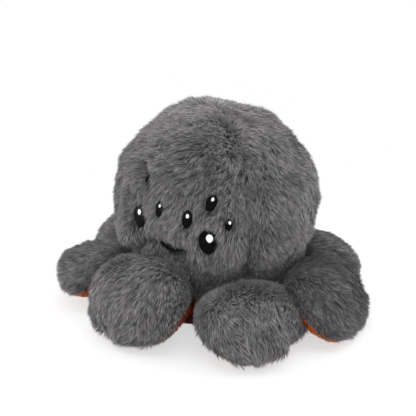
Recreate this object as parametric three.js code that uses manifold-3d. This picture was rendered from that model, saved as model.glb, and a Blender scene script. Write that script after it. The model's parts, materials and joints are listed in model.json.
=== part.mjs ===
// A plush toy that turns inside out: a furry grey ball of a head over eight stubby legs, with an
// orange skin underneath that lines the hollow of the head and the soles of the legs.
// Millimetres, +Z up, the face along -Y, the origin on the floor under the middle of the head.

import * as THREE from 'three';
import { mergeVertices } from 'three/addons/utils/BufferGeometryUtils.js';
import Module from 'manifold-3d';

const wasm = await Module();
wasm.setup();

// Head: a ball of gores that swell between their seams and tuck in over the legs
const HEAD_RADIUS = 98;
const HEAD_CENTRE_HEIGHT = 89;
const GORE_NAMES = ['front', 'right', 'back', 'left'];
const GORE_SEAM_DEPTH = 5;
const GORE_SEAM_WIDTH = 13;
const CREASE_LATITUDE = -24;
const NECK_RADIUS = 88;
const NECK_FOOT_HEIGHT = 30;

// Skins: the grey one with its long pile, the orange one with its short pile
const PILE_SKIN = 5;
const LINING_SKIN = 2.5;
const SEAM_GAP = 0.3;

// Hollow under the head that the reverse side turns out through
const CAVITY_RADIUS = 58;
const CAVITY_HALF_HEIGHT = 72;
const CAVITY_CENTRE_HEIGHT = 48;
const MOUTH_LIP_HEIGHT = 8;
const BAND_FLAT_INNER = 57;
const BAND_FLAT_OUTER = 78;
const BAND_HEEL_HEIGHT = 10;

// Legs: puffy lobes round the neck, each a grey top sewn to an orange sole
const LEG_COUNT = 8;
const FIRST_LEG_LONGITUDE = -10;
const FIRST_LEG_GAP = 51.3;
const LEG_REACH = 152;
const LEG_WIDEST_AT = 117;
const LEG_HALF_WIDTH = 43.5;
const LEG_ROOT_HALF_WIDTH = 33.5;
const LEG_TOP_HEIGHT = 56;
const LEG_ROOT_HEIGHT = 48;
const LEG_SEAM_ROOT_HEIGHT = 24;
const LEG_SEAM_TIP_HEIGHT = 11;
const LEG_ROUNDNESS = 2.3;
const LEG_ROOT_GAP = 0.5;
const FLOOR_FLAT_DEPTH = 0.5;

// Face: embroidered eyes in pairs and a small smile, all sunk into the pile, sewn on a little askew
const FACE_LONGITUDE = 3;
const FACE_ROLL = 11.6;
const EYE_SINK = 2;
const EYE_THICKNESS = 1.7;
const EYE_PAIRS = [
  { name: 'large', longitude: 20.4, latitude: 0.3, width: 14.5, height: 20, lean: -4 },
  { name: 'inner', longitude: 8, latitude: 9.1, width: 8.5, height: 14.5, lean: 6 },
  { name: 'upper', longitude: 18.3, latitude: 19.8, width: 8.5, height: 14, lean: 20 },
  { name: 'outer', longitude: 28.7, latitude: 11, width: 7, height: 9, lean: 0 },
];
const HIGHLIGHT_SHARE = 0.38;
const HIGHLIGHT_RAISE = 0.2;
const HIGHLIGHT_SHIFT = 0.1;
const HIGHLIGHT_THICKNESS = 0.9;
const SMILE_HALF_ANGLE = 6.2;
const SMILE_LONGITUDE = 3.1;
const SMILE_LATITUDE = -8.7;
const SMILE_RISE = 2.2;
const SMILE_WIDTH = 2.2;

// Facets: how finely each form is drawn
const GORE_COLUMNS = 8;
const HEAD_ROWS = 9;
const CAVITY_ROWS = 6;
const CORNER_STEPS = 3;
const LEG_STATIONS = 7;
const LEG_SIDES = 12;
const CORE_STATIONS = 5;
const CORE_SIDES = 8;
const EYE_SIDES = 14;
const SMILE_STEPS = 10;
const ENVELOPE_SIDES = 48;

const radians = THREE.MathUtils.degToRad;
const QUARTER_TURN = Math.PI / 2;
const FULL_TURN = 2 * Math.PI;
const GORE_SPAN = FULL_TURN / GORE_NAMES.length;
const UP = new THREE.Vector3(0, 0, 1);
// A cutter reaches this far past what it cuts
const CUTTER_REACH = 2 * LEG_REACH;

const furGrey = { color: 0x63605f, roughness: 0.95, metalness: 0 };
const plushOrange = { color: 0xc8620f, roughness: 0.9, metalness: 0 };
const fibreWhite = { color: 0xe9e6df, roughness: 1, metalness: 0 };
const threadBlack = { color: 0x0b0b0c, roughness: 0.55, metalness: 0 };
const threadWhite = { color: 0xf6f6f4, roughness: 0.5, metalness: 0 };

const toy = new THREE.Group();

function namedMesh(name, geometry, look) {
  const mesh = new THREE.Mesh(geometry, new THREE.MeshStandardMaterial(look));
  mesh.name = name;
  return mesh;
}

function signedVolume(points, faces) {
  let total = 0;
  for (const [a, b, c] of faces) {
    total += points[a].dot(new THREE.Vector3().crossVectors(points[b], points[c]));
  }
  return total;
}

// Closed geometry from points and triangles, with equal points merged and its faces turned outwards
function closedGeometry(points, faces) {
  const outward = signedVolume(points, faces) > 0;
  const flat = new THREE.BufferGeometry();
  flat.setAttribute('position', new THREE.Float32BufferAttribute(points.flatMap((p) => p.toArray()), 3));
  flat.setIndex(faces.flatMap(([a, b, c]) => (outward ? [a, b, c] : [a, c, b])));
  const merged = mergeVertices(flat);
  const index = merged.getIndex().array;
  const kept = [];
  for (let i = 0; i < index.length; i += 3) {
    const [a, b, c] = [index[i], index[i + 1], index[i + 2]];
    if (a !== b && b !== c && c !== a) kept.push(a, b, c);
  }
  merged.setIndex(kept);
  return merged;
}

// Two triangles for each cell of a grid whose points are stored row by row
function gridFaces(rows, columns, at) {
  const faces = [];
  for (let row = 0; row < rows; row += 1) {
    for (let column = 0; column < columns; column += 1) {
      const corner = [at(row, column), at(row, column + 1), at(row + 1, column + 1), at(row + 1, column)];
      faces.push([corner[0], corner[1], corner[2]], [corner[0], corner[2], corner[3]]);
    }
  }
  return faces;
}

// A thick patch of skin: its outer and inner faces over one grid, with a wall round the edge
function patchSolid(rows, columns, outerPoint, innerPoint) {
  const points = [];
  for (const pointAt of [outerPoint, innerPoint]) {
    for (let row = 0; row <= rows; row += 1) {
      for (let column = 0; column <= columns; column += 1) points.push(pointAt(row, column));
    }
  }
  const inside = (rows + 1) * (columns + 1);
  const at = (row, column) => row * (columns + 1) + column;
  const outer = gridFaces(rows, columns, at);
  const inner = gridFaces(rows, columns, at).map(([a, b, c]) => [a + inside, c + inside, b + inside]);
  const rim = [];
  for (let column = 0; column < columns; column += 1) rim.push([at(0, column), at(0, column + 1)]);
  for (let row = 0; row < rows; row += 1) rim.push([at(row, columns), at(row + 1, columns)]);
  for (let column = columns; column > 0; column -= 1) rim.push([at(rows, column), at(rows, column - 1)]);
  for (let row = rows; row > 0; row -= 1) rim.push([at(row, 0), at(row - 1, 0)]);
  const wall = rim.flatMap(([a, b]) => [[b, a, a + inside], [b, a + inside, b + inside]]);
  return closedGeometry(points, [...outer, ...inner, ...wall]);
}

// A solid of rings: a ring at each row, closed by caps or by running round to the first ring again
function ringSolid(rows, sides, pointAt, runsRound) {
  const points = [];
  for (let row = 0; row < rows; row += 1) {
    for (let side = 0; side < sides; side += 1) points.push(pointAt(row, side));
  }
  const at = (row, side) => (row % rows) * sides + (side % sides);
  const faces = gridFaces(runsRound ? rows : rows - 1, sides, at);
  if (!runsRound) {
    for (const row of [0, rows - 1]) {
      const middle = new THREE.Vector3();
      for (let side = 0; side < sides; side += 1) middle.addScaledVector(points[at(row, side)], 1 / sides);
      const hub = points.push(middle) - 1;
      for (let side = 0; side < sides; side += 1) {
        const edge = [at(row, side), at(row, side + 1)];
        faces.push(row === 0 ? [hub, edge[1], edge[0]] : [hub, edge[0], edge[1]]);
      }
    }
  }
  return closedGeometry(points, faces);
}

// Boolean cuts and joins between closed geometries
function asSolid(geometry) {
  const bare = geometry.clone();
  bare.deleteAttribute('normal');
  bare.deleteAttribute('uv');
  const merged = mergeVertices(bare);
  return new wasm.Manifold(new wasm.Mesh({
    numProp: 3,
    vertProperties: new Float32Array(merged.getAttribute('position').array),
    triVerts: new Uint32Array(merged.getIndex().array),
  }));
}

function asGeometry(solid) {
  const mesh = solid.getMesh();
  const geometry = new THREE.BufferGeometry();
  geometry.setAttribute('position', new THREE.BufferAttribute(new Float32Array(mesh.vertProperties), 3));
  geometry.setIndex(new THREE.BufferAttribute(new Uint32Array(mesh.triVerts), 1));
  return geometry;
}

// Longitude runs from the face at -Y towards +X
function aroundAxis(radius, longitude, height) {
  return new THREE.Vector3(radius * Math.sin(longitude), -radius * Math.cos(longitude), height);
}

// Head skin: rows run from the foot of the neck, up over the crease, to the crown
const CREASE = radians(CREASE_LATITUDE);
const CREASE_RADIUS = HEAD_RADIUS * Math.cos(CREASE);
const CREASE_HEIGHT = HEAD_CENTRE_HEIGHT + HEAD_RADIUS * Math.sin(CREASE);
const rowLatitude = (row) => CREASE + ((row - 1) / HEAD_ROWS) * (QUARTER_TURN - CREASE);

// Columns crowd towards the seams, where the skin dips
function columnTurn(column) {
  return (GORE_SPAN / 2) * Math.sin((2 * column / GORE_COLUMNS - 1) * QUARTER_TURN);
}

function seamDip(fromMiddle, radius) {
  const alongSkin = radius * (GORE_SPAN / 2 - Math.abs(fromMiddle));
  return GORE_SEAM_DEPTH * Math.exp(-((alongSkin / GORE_SEAM_WIDTH) ** 2));
}

// The skin at a depth below the pile: its distance from the axis and its height
function skinSection(row, fromMiddle, depth) {
  const latitude = rowLatitude(Math.max(row, 1));
  const sunk = depth + seamDip(fromMiddle, HEAD_RADIUS * Math.cos(latitude));
  if (row === 0) return [NECK_RADIUS - sunk, NECK_FOOT_HEIGHT];
  const radius = HEAD_RADIUS - sunk;
  return [radius * Math.cos(latitude), HEAD_CENTRE_HEIGHT + radius * Math.sin(latitude)];
}

// A gore stops half a gap short of the seam planes, so its tip ends just off the axis
function goreTurn(fromMiddle, radius, gap) {
  const tipRadius = gap / 2 / Math.sin(GORE_SPAN / 2);
  if (radius <= tipRadius) return [0, tipRadius];
  const limit = GORE_SPAN / 2 - Math.asin(gap / 2 / radius);
  return [THREE.MathUtils.clamp(fromMiddle, -limit, limit), radius];
}

function gorePoint(middle, depth) {
  return (row, column) => {
    const fromMiddle = columnTurn(column);
    const [radius, height] = skinSection(row, fromMiddle, depth);
    const [turn, kept] = goreTurn(fromMiddle, radius, SEAM_GAP);
    return aroundAxis(kept, middle + turn, height);
  };
}

function goreGeometry(middle) {
  return patchSolid(HEAD_ROWS + 1, GORE_COLUMNS, gorePoint(middle, 0), gorePoint(middle, PILE_SKIN));
}

// Hollow: an ellipsoid, given by its distance from the axis and its height at a row and a depth
const MOUTH_LATITUDE = Math.asin((MOUTH_LIP_HEIGHT - CAVITY_CENTRE_HEIGHT) / CAVITY_HALF_HEIGHT);

function cavitySection(row, depth) {
  const latitude = MOUTH_LATITUDE + (row / CAVITY_ROWS) * (QUARTER_TURN - MOUTH_LATITUDE);
  const radius = (CAVITY_RADIUS + depth) * Math.cos(latitude);
  return [radius, CAVITY_CENTRE_HEIGHT + (CAVITY_HALF_HEIGHT + depth) * Math.sin(latitude)];
}

function liningPoint(middle, depth) {
  return (row, column) => {
    const [radius, height] = cavitySection(row, depth);
    const [turn, kept] = goreTurn(columnTurn(column), radius, SEAM_GAP);
    return aroundAxis(kept, middle + turn, height);
  };
}

// Band round the mouth of the hollow: the orange skin from the lip, over the floor, up to the neck
function corner(from, to, bulgesInRadius) {
  const points = [];
  for (let step = 0; step <= CORNER_STEPS; step += 1) {
    const turn = (step / CORNER_STEPS) * QUARTER_TURN;
    const slow = 1 - Math.cos(turn);
    const fast = Math.sin(turn);
    const share = bulgesInRadius ? [fast, slow] : [slow, fast];
    points.push([from[0] + (to[0] - from[0]) * share[0], from[1] + (to[1] - from[1]) * share[1]]);
  }
  return points;
}

function bandSection(depth, topHeight) {
  const lip = cavitySection(0, depth);
  const lipHeight = lip[1] - SEAM_GAP;
  const heel = [NECK_RADIUS - depth, BAND_HEEL_HEIGHT];
  const inner = corner([lip[0], lipHeight], [BAND_FLAT_INNER, depth], false);
  const outer = corner([BAND_FLAT_OUTER, depth], heel, true);
  return [...inner, ...outer, [NECK_RADIUS - depth, topHeight]];
}

const allTurns = GORE_NAMES.flatMap((name, gore) => (
  Array.from({ length: GORE_COLUMNS }, (_, column) => ({ middle: gore * GORE_SPAN, fromMiddle: columnTurn(column) }))
));

function bandGeometry() {
  const outside = bandSection(0, NECK_FOOT_HEIGHT - SEAM_GAP);
  const inside = bandSection(LINING_SKIN, NECK_FOOT_HEIGHT - SEAM_GAP).reverse();
  const section = [...outside, ...inside];
  const pointAt = (row, side) => {
    const { middle, fromMiddle } = allTurns[side];
    return aroundAxis(section[row][0], middle + fromMiddle, section[row][1]);
  };
  return ringSolid(section.length, allTurns.length, pointAt, true);
}

// Stuffing of the head: a bell that fills the space between the grey skin, the band and the lining
function headStuffingGeometry() {
  const shelfHeight = NECK_FOOT_HEIGHT - SEAM_GAP;
  const sections = [];
  for (let row = CAVITY_ROWS; row >= 0; row -= 1) {
    sections.push(() => cavitySection(row, LINING_SKIN + SEAM_GAP));
  }
  for (const section of bandSection(LINING_SKIN + SEAM_GAP, shelfHeight)) sections.push(() => section);
  for (let row = 0; row <= HEAD_ROWS + 1; row += 1) {
    sections.push((fromMiddle) => skinSection(row, fromMiddle, PILE_SKIN + SEAM_GAP));
  }
  const pointAt = (row, side) => {
    const { middle, fromMiddle } = allTurns[side];
    const [radius, height] = sections[row](fromMiddle);
    return aroundAxis(radius, middle + fromMiddle, height);
  };
  return ringSolid(sections.length, allTurns.length, pointAt, false);
}

// Face: each patch lies on the ball between two depths below the pile's surface
function facePoint(longitude, latitude, depth) {
  const radius = HEAD_RADIUS - depth;
  return aroundAxis(radius * Math.cos(latitude), longitude, HEAD_CENTRE_HEIGHT + radius * Math.sin(latitude));
}

// From a place on the face's own grid to its longitude and latitude on the head
const FACE_AXIS = new THREE.Vector3(0, -1, 0);

function onHead(longitude, latitude) {
  const place = aroundAxis(Math.cos(latitude), longitude, Math.sin(latitude));
  place.applyAxisAngle(FACE_AXIS, -radians(FACE_ROLL));
  place.applyAxisAngle(UP, radians(FACE_LONGITUDE));
  return [Math.atan2(place.x, -place.y), Math.asin(place.z)];
}

function ovalGeometry(oval, frontDepth, backDepth) {
  const pointAt = (row, side) => {
    const turn = (side / EYE_SIDES) * FULL_TURN;
    const across = (oval.width / 2) * Math.cos(turn);
    const along = (oval.height / 2) * Math.sin(turn);
    const right = oval.right + across * Math.cos(oval.lean) - along * Math.sin(oval.lean);
    const raised = oval.raised + across * Math.sin(oval.lean) + along * Math.cos(oval.lean);
    const latitude = oval.latitude + raised / HEAD_RADIUS;
    const longitude = oval.longitude + right / (HEAD_RADIUS * Math.cos(oval.latitude));
    return facePoint(longitude, latitude, row === 0 ? frontDepth : backDepth);
  };
  return ringSolid(2, EYE_SIDES, pointAt, false);
}

function grown(oval, by) {
  return { ...oval, width: oval.width + 2 * by, height: oval.height + 2 * by };
}

const eyes = EYE_PAIRS.flatMap((pair) => [['right', 1], ['left', -1]].map(([side, sign]) => {
  const [longitude, latitude] = onHead(sign * radians(pair.longitude), radians(pair.latitude));
  const lean = -radians(pair.lean);
  return { ...pair, name: `${pair.name}_${side}`, longitude, latitude, lean, right: 0, raised: 0 };
}));

function highlightOf(eye) {
  return {
    ...eye,
    width: eye.width * HIGHLIGHT_SHARE,
    height: eye.width * HIGHLIGHT_SHARE,
    right: eye.width * HIGHLIGHT_SHIFT,
    raised: eye.height * HIGHLIGHT_RAISE,
  };
}

function smileGeometry(growth, frontDepth, backDepth) {
  const halfAngle = radians(SMILE_HALF_ANGLE) + growth / HEAD_RADIUS;
  const smilePoint = (depth) => (row, column) => {
    const share = 2 * column / SMILE_STEPS - 1;
    const latitude = radians(SMILE_LATITUDE + SMILE_RISE * share ** 2);
    const raised = (row - 1 / 2) * (SMILE_WIDTH + 2 * growth);
    const longitude = radians(SMILE_LONGITUDE) + share * halfAngle;
    return facePoint(...onHead(longitude, latitude + raised / HEAD_RADIUS), depth);
  };
  return patchSolid(1, SMILE_STEPS, smilePoint(frontDepth), smilePoint(backDepth));
}

const EYE_BACK = EYE_SINK + EYE_THICKNESS;
const RECESS_FLOOR = EYE_BACK + SEAM_GAP;

function frontGoreGeometry() {
  let gore = asSolid(goreGeometry(0));
  for (const eye of eyes) {
    gore = gore.subtract(asSolid(ovalGeometry(grown(eye, SEAM_GAP), -PILE_SKIN, RECESS_FLOOR)));
  }
  gore = gore.subtract(asSolid(smileGeometry(SEAM_GAP, -PILE_SKIN, RECESS_FLOOR)));
  return asGeometry(gore);
}

// Legs: drawn along +X from the axis of the toy, then turned to their places round the neck
function legSeamHeight(x) {
  const share = (x - NECK_RADIUS) / (LEG_REACH - NECK_RADIUS);
  return THREE.MathUtils.lerp(LEG_SEAM_ROOT_HEIGHT, LEG_SEAM_TIP_HEIGHT, share);
}

// A lobe that swells from the neck to its widest place, then rounds off to the tip
function lobeGeometry(inset, soleInset, rootX, stations, sides) {
  const reach = LEG_REACH - inset;
  const pointAt = (row, side) => {
    const toTip = Math.sin((row / stations) * QUARTER_TURN);
    const x = rootX + (reach - rootX) * toTip;
    const fromNeck = THREE.MathUtils.clamp((x - NECK_RADIUS) / (LEG_WIDEST_AT - NECK_RADIUS), 0, 1);
    const swell = Math.sin(fromNeck * QUARTER_TURN);
    const past = Math.max(0, (x - LEG_WIDEST_AT) / (reach - LEG_WIDEST_AT));
    const falloff = Math.max(0, 1 - past ** LEG_ROUNDNESS) ** (1 / LEG_ROUNDNESS);
    const seam = legSeamHeight(x);
    const halfWidth = falloff * (THREE.MathUtils.lerp(LEG_ROOT_HALF_WIDTH, LEG_HALF_WIDTH, swell) - inset);
    const crown = THREE.MathUtils.lerp(LEG_ROOT_HEIGHT, LEG_TOP_HEIGHT, swell);
    const above = falloff * (crown - inset - seam);
    const below = falloff * (seam + FLOOR_FLAT_DEPTH - soleInset);
    const turn = (side / sides) * FULL_TURN;
    const across = Math.sign(Math.cos(turn)) * Math.abs(Math.cos(turn)) ** (2 / LEG_ROUNDNESS);
    const raised = Math.sign(Math.sin(turn)) * Math.abs(Math.sin(turn)) ** (2 / LEG_ROUNDNESS);
    return new THREE.Vector3(x, halfWidth * across, seam + raised * (raised > 0 ? above : below));
  };
  return ringSolid(stations + 1, sides, pointAt, false);
}

// Everything above or below a line in the leg's own upright plane
function halfSpace(lineHeight, side) {
  const outline = new THREE.Shape([
    new THREE.Vector2(0, lineHeight(0)),
    new THREE.Vector2(CUTTER_REACH, lineHeight(CUTTER_REACH)),
    new THREE.Vector2(CUTTER_REACH, side * CUTTER_REACH),
    new THREE.Vector2(0, side * CUTTER_REACH),
  ]);
  const slab = new THREE.ExtrudeGeometry(outline, { depth: 2 * CUTTER_REACH, bevelEnabled: false });
  slab.translate(0, 0, -CUTTER_REACH);
  slab.rotateX(QUARTER_TURN);
  return asSolid(slab);
}

// The head as the legs meet it: the ball, the neck and the ground under them, a gap larger all over
function headEnvelope() {
  const outline = [
    new THREE.Vector2(0, -CUTTER_REACH),
    new THREE.Vector2(NECK_RADIUS + LEG_ROOT_GAP, -CUTTER_REACH),
    new THREE.Vector2(NECK_RADIUS + LEG_ROOT_GAP, NECK_FOOT_HEIGHT),
  ];
  const radius = HEAD_RADIUS + LEG_ROOT_GAP;
  for (let row = 1; row <= HEAD_ROWS; row += 1) {
    const latitude = rowLatitude(row);
    outline.push(new THREE.Vector2(radius * Math.cos(latitude), HEAD_CENTRE_HEIGHT + radius * Math.sin(latitude)));
  }
  outline.push(new THREE.Vector2(0, HEAD_CENTRE_HEIGHT + radius));
  const lathe = new THREE.LatheGeometry(outline, ENVELOPE_SIDES);
  lathe.rotateX(QUARTER_TURN);
  return asSolid(lathe);
}

function legGeometries() {
  const head = headEnvelope();
  const insideRoot = NECK_RADIUS - PILE_SKIN;
  const outer = asSolid(lobeGeometry(0, 0, insideRoot, LEG_STATIONS, LEG_SIDES)).subtract(head);
  const hollow = asSolid(lobeGeometry(PILE_SKIN, LINING_SKIN, insideRoot - PILE_SKIN, CORE_STATIONS, CORE_SIDES));
  const core = asSolid(lobeGeometry(
    PILE_SKIN + SEAM_GAP,
    LINING_SKIN + SEAM_GAP,
    insideRoot - PILE_SKIN,
    CORE_STATIONS,
    CORE_SIDES,
  ));
  const shell = outer.subtract(hollow);
  const aboveSeam = halfSpace((x) => legSeamHeight(x) + SEAM_GAP / 2, 1);
  const belowSeam = halfSpace((x) => legSeamHeight(x) - SEAM_GAP / 2, -1);
  const aboveFloor = halfSpace(() => 0, 1);
  return {
    top: asGeometry(shell.intersect(aboveSeam)),
    sole: asGeometry(shell.intersect(belowSeam).intersect(aboveFloor)),
    stuffing: asGeometry(core.subtract(head)),
  };
}

GORE_NAMES.forEach((name, gore) => {
  const middle = gore * GORE_SPAN;
  const skin = gore === 0 ? frontGoreGeometry() : goreGeometry(middle);
  toy.add(namedMesh(`head_gore_${name}`, skin, furGrey));
  const lining = patchSolid(CAVITY_ROWS, GORE_COLUMNS, liningPoint(middle, LINING_SKIN), liningPoint(middle, 0));
  toy.add(namedMesh(`lining_gore_${name}`, lining, plushOrange));
});
toy.add(namedMesh('head_stuffing', headStuffingGeometry(), fibreWhite));
toy.add(namedMesh('mouth_band', bandGeometry(), plushOrange));

for (const eye of eyes) {
  toy.add(namedMesh(`eye_${eye.name}`, ovalGeometry(eye, EYE_SINK, EYE_BACK), threadBlack));
  const seat = EYE_SINK - SEAM_GAP;
  const highlight = ovalGeometry(highlightOf(eye), seat - HIGHLIGHT_THICKNESS, seat);
  toy.add(namedMesh(`highlight_${eye.name}`, highlight, threadWhite));
}
toy.add(namedMesh('smile', smileGeometry(0, EYE_SINK, EYE_BACK), threadBlack));

// The two legs under the face stand wider apart, and the others share the rest of the ring
function legLongitude(number) {
  if (number === 1) return radians(FIRST_LEG_LONGITUDE);
  const restOfRing = FULL_TURN - radians(FIRST_LEG_GAP);
  return radians(FIRST_LEG_LONGITUDE + FIRST_LEG_GAP) + restOfRing * (number - 2) / (LEG_COUNT - 1);
}

const leg = legGeometries();
for (let number = 1; number <= LEG_COUNT; number += 1) {
  const longitude = legLongitude(number);
  const place = new THREE.Group();
  place.setRotationFromAxisAngle(UP, longitude - QUARTER_TURN);
  place.add(namedMesh(`leg_${number}_top`, leg.top, furGrey));
  place.add(namedMesh(`leg_${number}_sole`, leg.sole, plushOrange));
  place.add(namedMesh(`leg_${number}_stuffing`, leg.stuffing, fibreWhite));
  toy.add(place);
}

export default toy;
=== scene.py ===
# %% [markdown]
# # A furry plush toy that turns inside out
# The toy is a stuffed ball of long grey fur on eight stubby legs. Its underside is a hollow lined with
# orange plush, so that the crown can be pushed through and the toy turned inside out. This lesson dresses
# the CAD solids in cloth, stuffing, fur and embroidery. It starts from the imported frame, whose joints say
# where each leg is sewn on.

# %% Load the frame
import json
import math

import bmesh
import bpy
import numpy as np
from mathutils import Matrix, Vector, noise


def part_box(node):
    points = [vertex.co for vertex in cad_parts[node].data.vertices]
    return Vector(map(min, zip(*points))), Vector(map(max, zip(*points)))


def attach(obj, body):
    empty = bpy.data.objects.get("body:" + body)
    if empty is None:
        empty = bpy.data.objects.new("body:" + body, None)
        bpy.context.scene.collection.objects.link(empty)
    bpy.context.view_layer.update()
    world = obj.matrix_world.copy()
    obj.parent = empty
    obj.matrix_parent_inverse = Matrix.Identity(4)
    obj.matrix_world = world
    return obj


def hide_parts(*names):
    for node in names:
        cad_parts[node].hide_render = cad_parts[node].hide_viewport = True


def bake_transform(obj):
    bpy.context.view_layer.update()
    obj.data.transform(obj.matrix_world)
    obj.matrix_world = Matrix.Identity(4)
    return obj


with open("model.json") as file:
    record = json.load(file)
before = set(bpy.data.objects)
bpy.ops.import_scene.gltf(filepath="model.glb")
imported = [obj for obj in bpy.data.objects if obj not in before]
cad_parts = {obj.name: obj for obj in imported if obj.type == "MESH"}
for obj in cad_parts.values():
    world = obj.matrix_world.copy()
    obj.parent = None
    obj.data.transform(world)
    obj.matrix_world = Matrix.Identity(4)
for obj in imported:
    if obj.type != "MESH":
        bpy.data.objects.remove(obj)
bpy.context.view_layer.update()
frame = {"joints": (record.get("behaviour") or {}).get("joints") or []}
scene = bpy.context.scene
scene.view_settings.view_transform = "Standard"
MM = 0.001

# %% [markdown]
# ## The camera
# A toy is easiest to compare with its photograph when the camera comes first. Its height, side and lens
# were worked out from the ball's outline and the leg tips. It could be placed by eye, but then every later
# mismatch would have two possible causes. The aim point lies a little beside the head's middle, so the
# frame needs no lens shift.

# %% Place the camera
HEAD_CENTRE = np.array([0.0, 0.0, 89.0]) * MM
CAMERA_SIDE = math.radians(27.96)
CAMERA_RISE = math.radians(17.0)
CAMERA_DISTANCE = 501.9 * MM
CAMERA_LENS = 44.93
CAMERA_NEAREST = 10.0 * MM
AIM_RIGHT, AIM_UP = -7.9 * MM, -5.9 * MM


def show(name, data):
    """Puts a new object into the scene."""
    item = bpy.data.objects.new(name, data)
    scene.collection.objects.link(item)
    return item


def camera_axes(side, rise):
    """The directions from the toy to the camera, to the picture's right and to its top."""
    back = np.array([math.sin(side) * math.cos(rise), -math.cos(side) * math.cos(rise), math.sin(rise)])
    right = np.array([math.cos(side), math.sin(side), 0.0])
    return back, right, np.cross(back, right)


to_camera, picture_right, picture_up = camera_axes(CAMERA_SIDE, CAMERA_RISE)
aim = HEAD_CENTRE + AIM_RIGHT * picture_right + AIM_UP * picture_up
camera = show("camera", bpy.data.cameras.new("camera"))
camera.data.lens = CAMERA_LENS
camera.data.clip_start = CAMERA_NEAREST
camera.location = Vector(aim + CAMERA_DISTANCE * to_camera)
camera.rotation_euler = Vector(-to_camera).to_track_quat("-Z", "Y").to_euler()
scene.camera = camera
print("camera at", [round(v, 3) for v in camera.location])

# %% [markdown]
# ## The studio
# The toy stands on white paper under soft light: a broad lamp overhead, a weak one in front, and one on
# each side for the edges of the fur. Lamps and sky together give a level at which a colour renders about as
# it is written. Rays from the camera, off a mirror or through glass see the sky and the far paper as pure
# white, through the Light Path node, so the background needs no extra light on the fur. Near the toy the
# paper is only partly white of itself, so it keeps the toy's shadow.

# %% Floor, sky and lamps
WHITE = (1, 1, 1, 1)
SKY_LEVEL = 0.62
LAMPS = {"overhead_lamp": ((-0.1, 0.2, 1.4), 1.5, 9.5), "front_lamp": ((0.35, -1.05, 0.45), 0.9, 3.5),
         "left_lamp": ((-0.97, -0.32, 0.45), 0.9, 8.5), "right_lamp": ((0.8, 0.6, 0.45), 0.9, 8.0)}
FLOOR_SIZE = 8.0
PAPER = {"Base Color": (0.93, 0.93, 0.93, 1), "Roughness": 0.9, "Specular IOR Level": 0.1}
SHADOW_REACH = (0.2, 0.55)
SHADOW_PAPER_WHITE = 0.6


def feed(tree, node, feeds):
    """Gives a node's inputs plain values, or links from one or more outputs of other nodes."""
    for name, value in feeds.items():
        sources = value if isinstance(value, list) else [value]
        for source in sources:
            if isinstance(source, bpy.types.NodeSocket):
                tree.links.new(source, node.inputs[name])
            elif source is not None:
                node.inputs[name].default_value = source


def put(tree, kind, feeds=None, **settings):
    """Adds a node, sets its properties and feeds its inputs."""
    node = tree.nodes.new(kind)
    for key, value in settings.items():
        setattr(node, key, value)
    feed(tree, node, feeds or {})
    return node


def new_material(name):
    """A new material, its tree and its shader."""
    material = bpy.data.materials.new(name)
    material.use_nodes = True
    return material, material.node_tree, material.node_tree.nodes["Principled BSDF"]


def seen_directly(tree):
    """A value that is one for rays from the camera, off a mirror or through glass."""
    path = put(tree, "ShaderNodeLightPath").outputs
    total = path["Is Camera Ray"]
    for ray in ("Is Glossy Ray", "Is Transmission Ray"):
        total = put(tree, "ShaderNodeMath", {0: total, 1: path[ray]}, operation="MAXIMUM").outputs[0]
    return total


def light_sky():
    """A pale sky that is seen as white."""
    world = bpy.data.worlds.new("pale_sky")
    world.use_nodes = True
    tree = world.node_tree
    tree.nodes.clear()
    sky = put(tree, "ShaderNodeBackground", {"Color": WHITE, "Strength": SKY_LEVEL})
    white = put(tree, "ShaderNodeBackground", {"Color": WHITE})
    mix = put(tree, "ShaderNodeMixShader",
              {"Fac": seen_directly(tree), 1: sky.outputs[0], 2: white.outputs[0]})
    put(tree, "ShaderNodeOutputWorld", {"Surface": mix.outputs[0]})
    scene.world = world


def add_lamp(name, place, size, watts):
    """A square soft lamp that looks at the head."""
    lamp = bpy.data.lights.new(name, "AREA")
    lamp.size = size
    lamp.energy = watts
    holder = show(name, lamp)
    holder.location = place
    holder.rotation_euler = (Vector(HEAD_CENTRE) - Vector(place)).to_track_quat("-Z", "Y").to_euler()


def floor_paper():
    """White paper that is seen as pure white far off, and keeps a shadow near the toy."""
    material, tree, paper = new_material("floor_paper")
    feed(tree, paper, PAPER)
    white = put(tree, "ShaderNodeEmission")
    place = put(tree, "ShaderNodeTexCoord")
    far = put(tree, "ShaderNodeVectorMath", {0: place.outputs["Object"]}, operation="LENGTH")
    fade = put(tree, "ShaderNodeMapRange",
               {"Value": far.outputs["Value"], "From Min": SHADOW_REACH[0], "From Max": SHADOW_REACH[1],
                "To Min": SHADOW_PAPER_WHITE}, interpolation_type="SMOOTHSTEP")
    share = put(tree, "ShaderNodeMath", {0: fade.outputs["Result"], 1: seen_directly(tree)},
                operation="MULTIPLY")
    mix = put(tree, "ShaderNodeMixShader",
              {"Fac": share.outputs[0], 1: paper.outputs[0], 2: white.outputs[0]})
    feed(tree, tree.nodes["Material Output"], {"Surface": mix.outputs[0]})
    return material


def lay_floor():
    """A wide sheet of paper under the toy."""
    half = FLOOR_SIZE / 2
    mesh = bpy.data.meshes.new("floor")
    corners = [(-half, -half, 0), (half, -half, 0), (half, half, 0), (-half, half, 0)]
    mesh.from_pydata(corners, [], [(0, 1, 2, 3)])
    mesh.materials.append(floor_paper())
    show("floor", mesh)


light_sky()
for lamp_name, lamp_values in LAMPS.items():
    add_lamp(lamp_name, *lamp_values)
lay_floor()
print("lamps:", list(LAMPS))

# %% [markdown]
# ## Finishes
# Every cloth here is a pile: fibres that stand on a backing. A bump map would stay flat at the toy's
# outline, so the fibres are real blades, and one finish colours both blade and backing. It reads the
# piece's own UV map: across is the shade of a tuft, and up is the way from root to tip. Thread and stuffing
# share a grain group, which gives them uneven colour and a fine bump.

# %% Colours and the shared grain
GRAIN_DETAIL = 3.0


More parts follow.
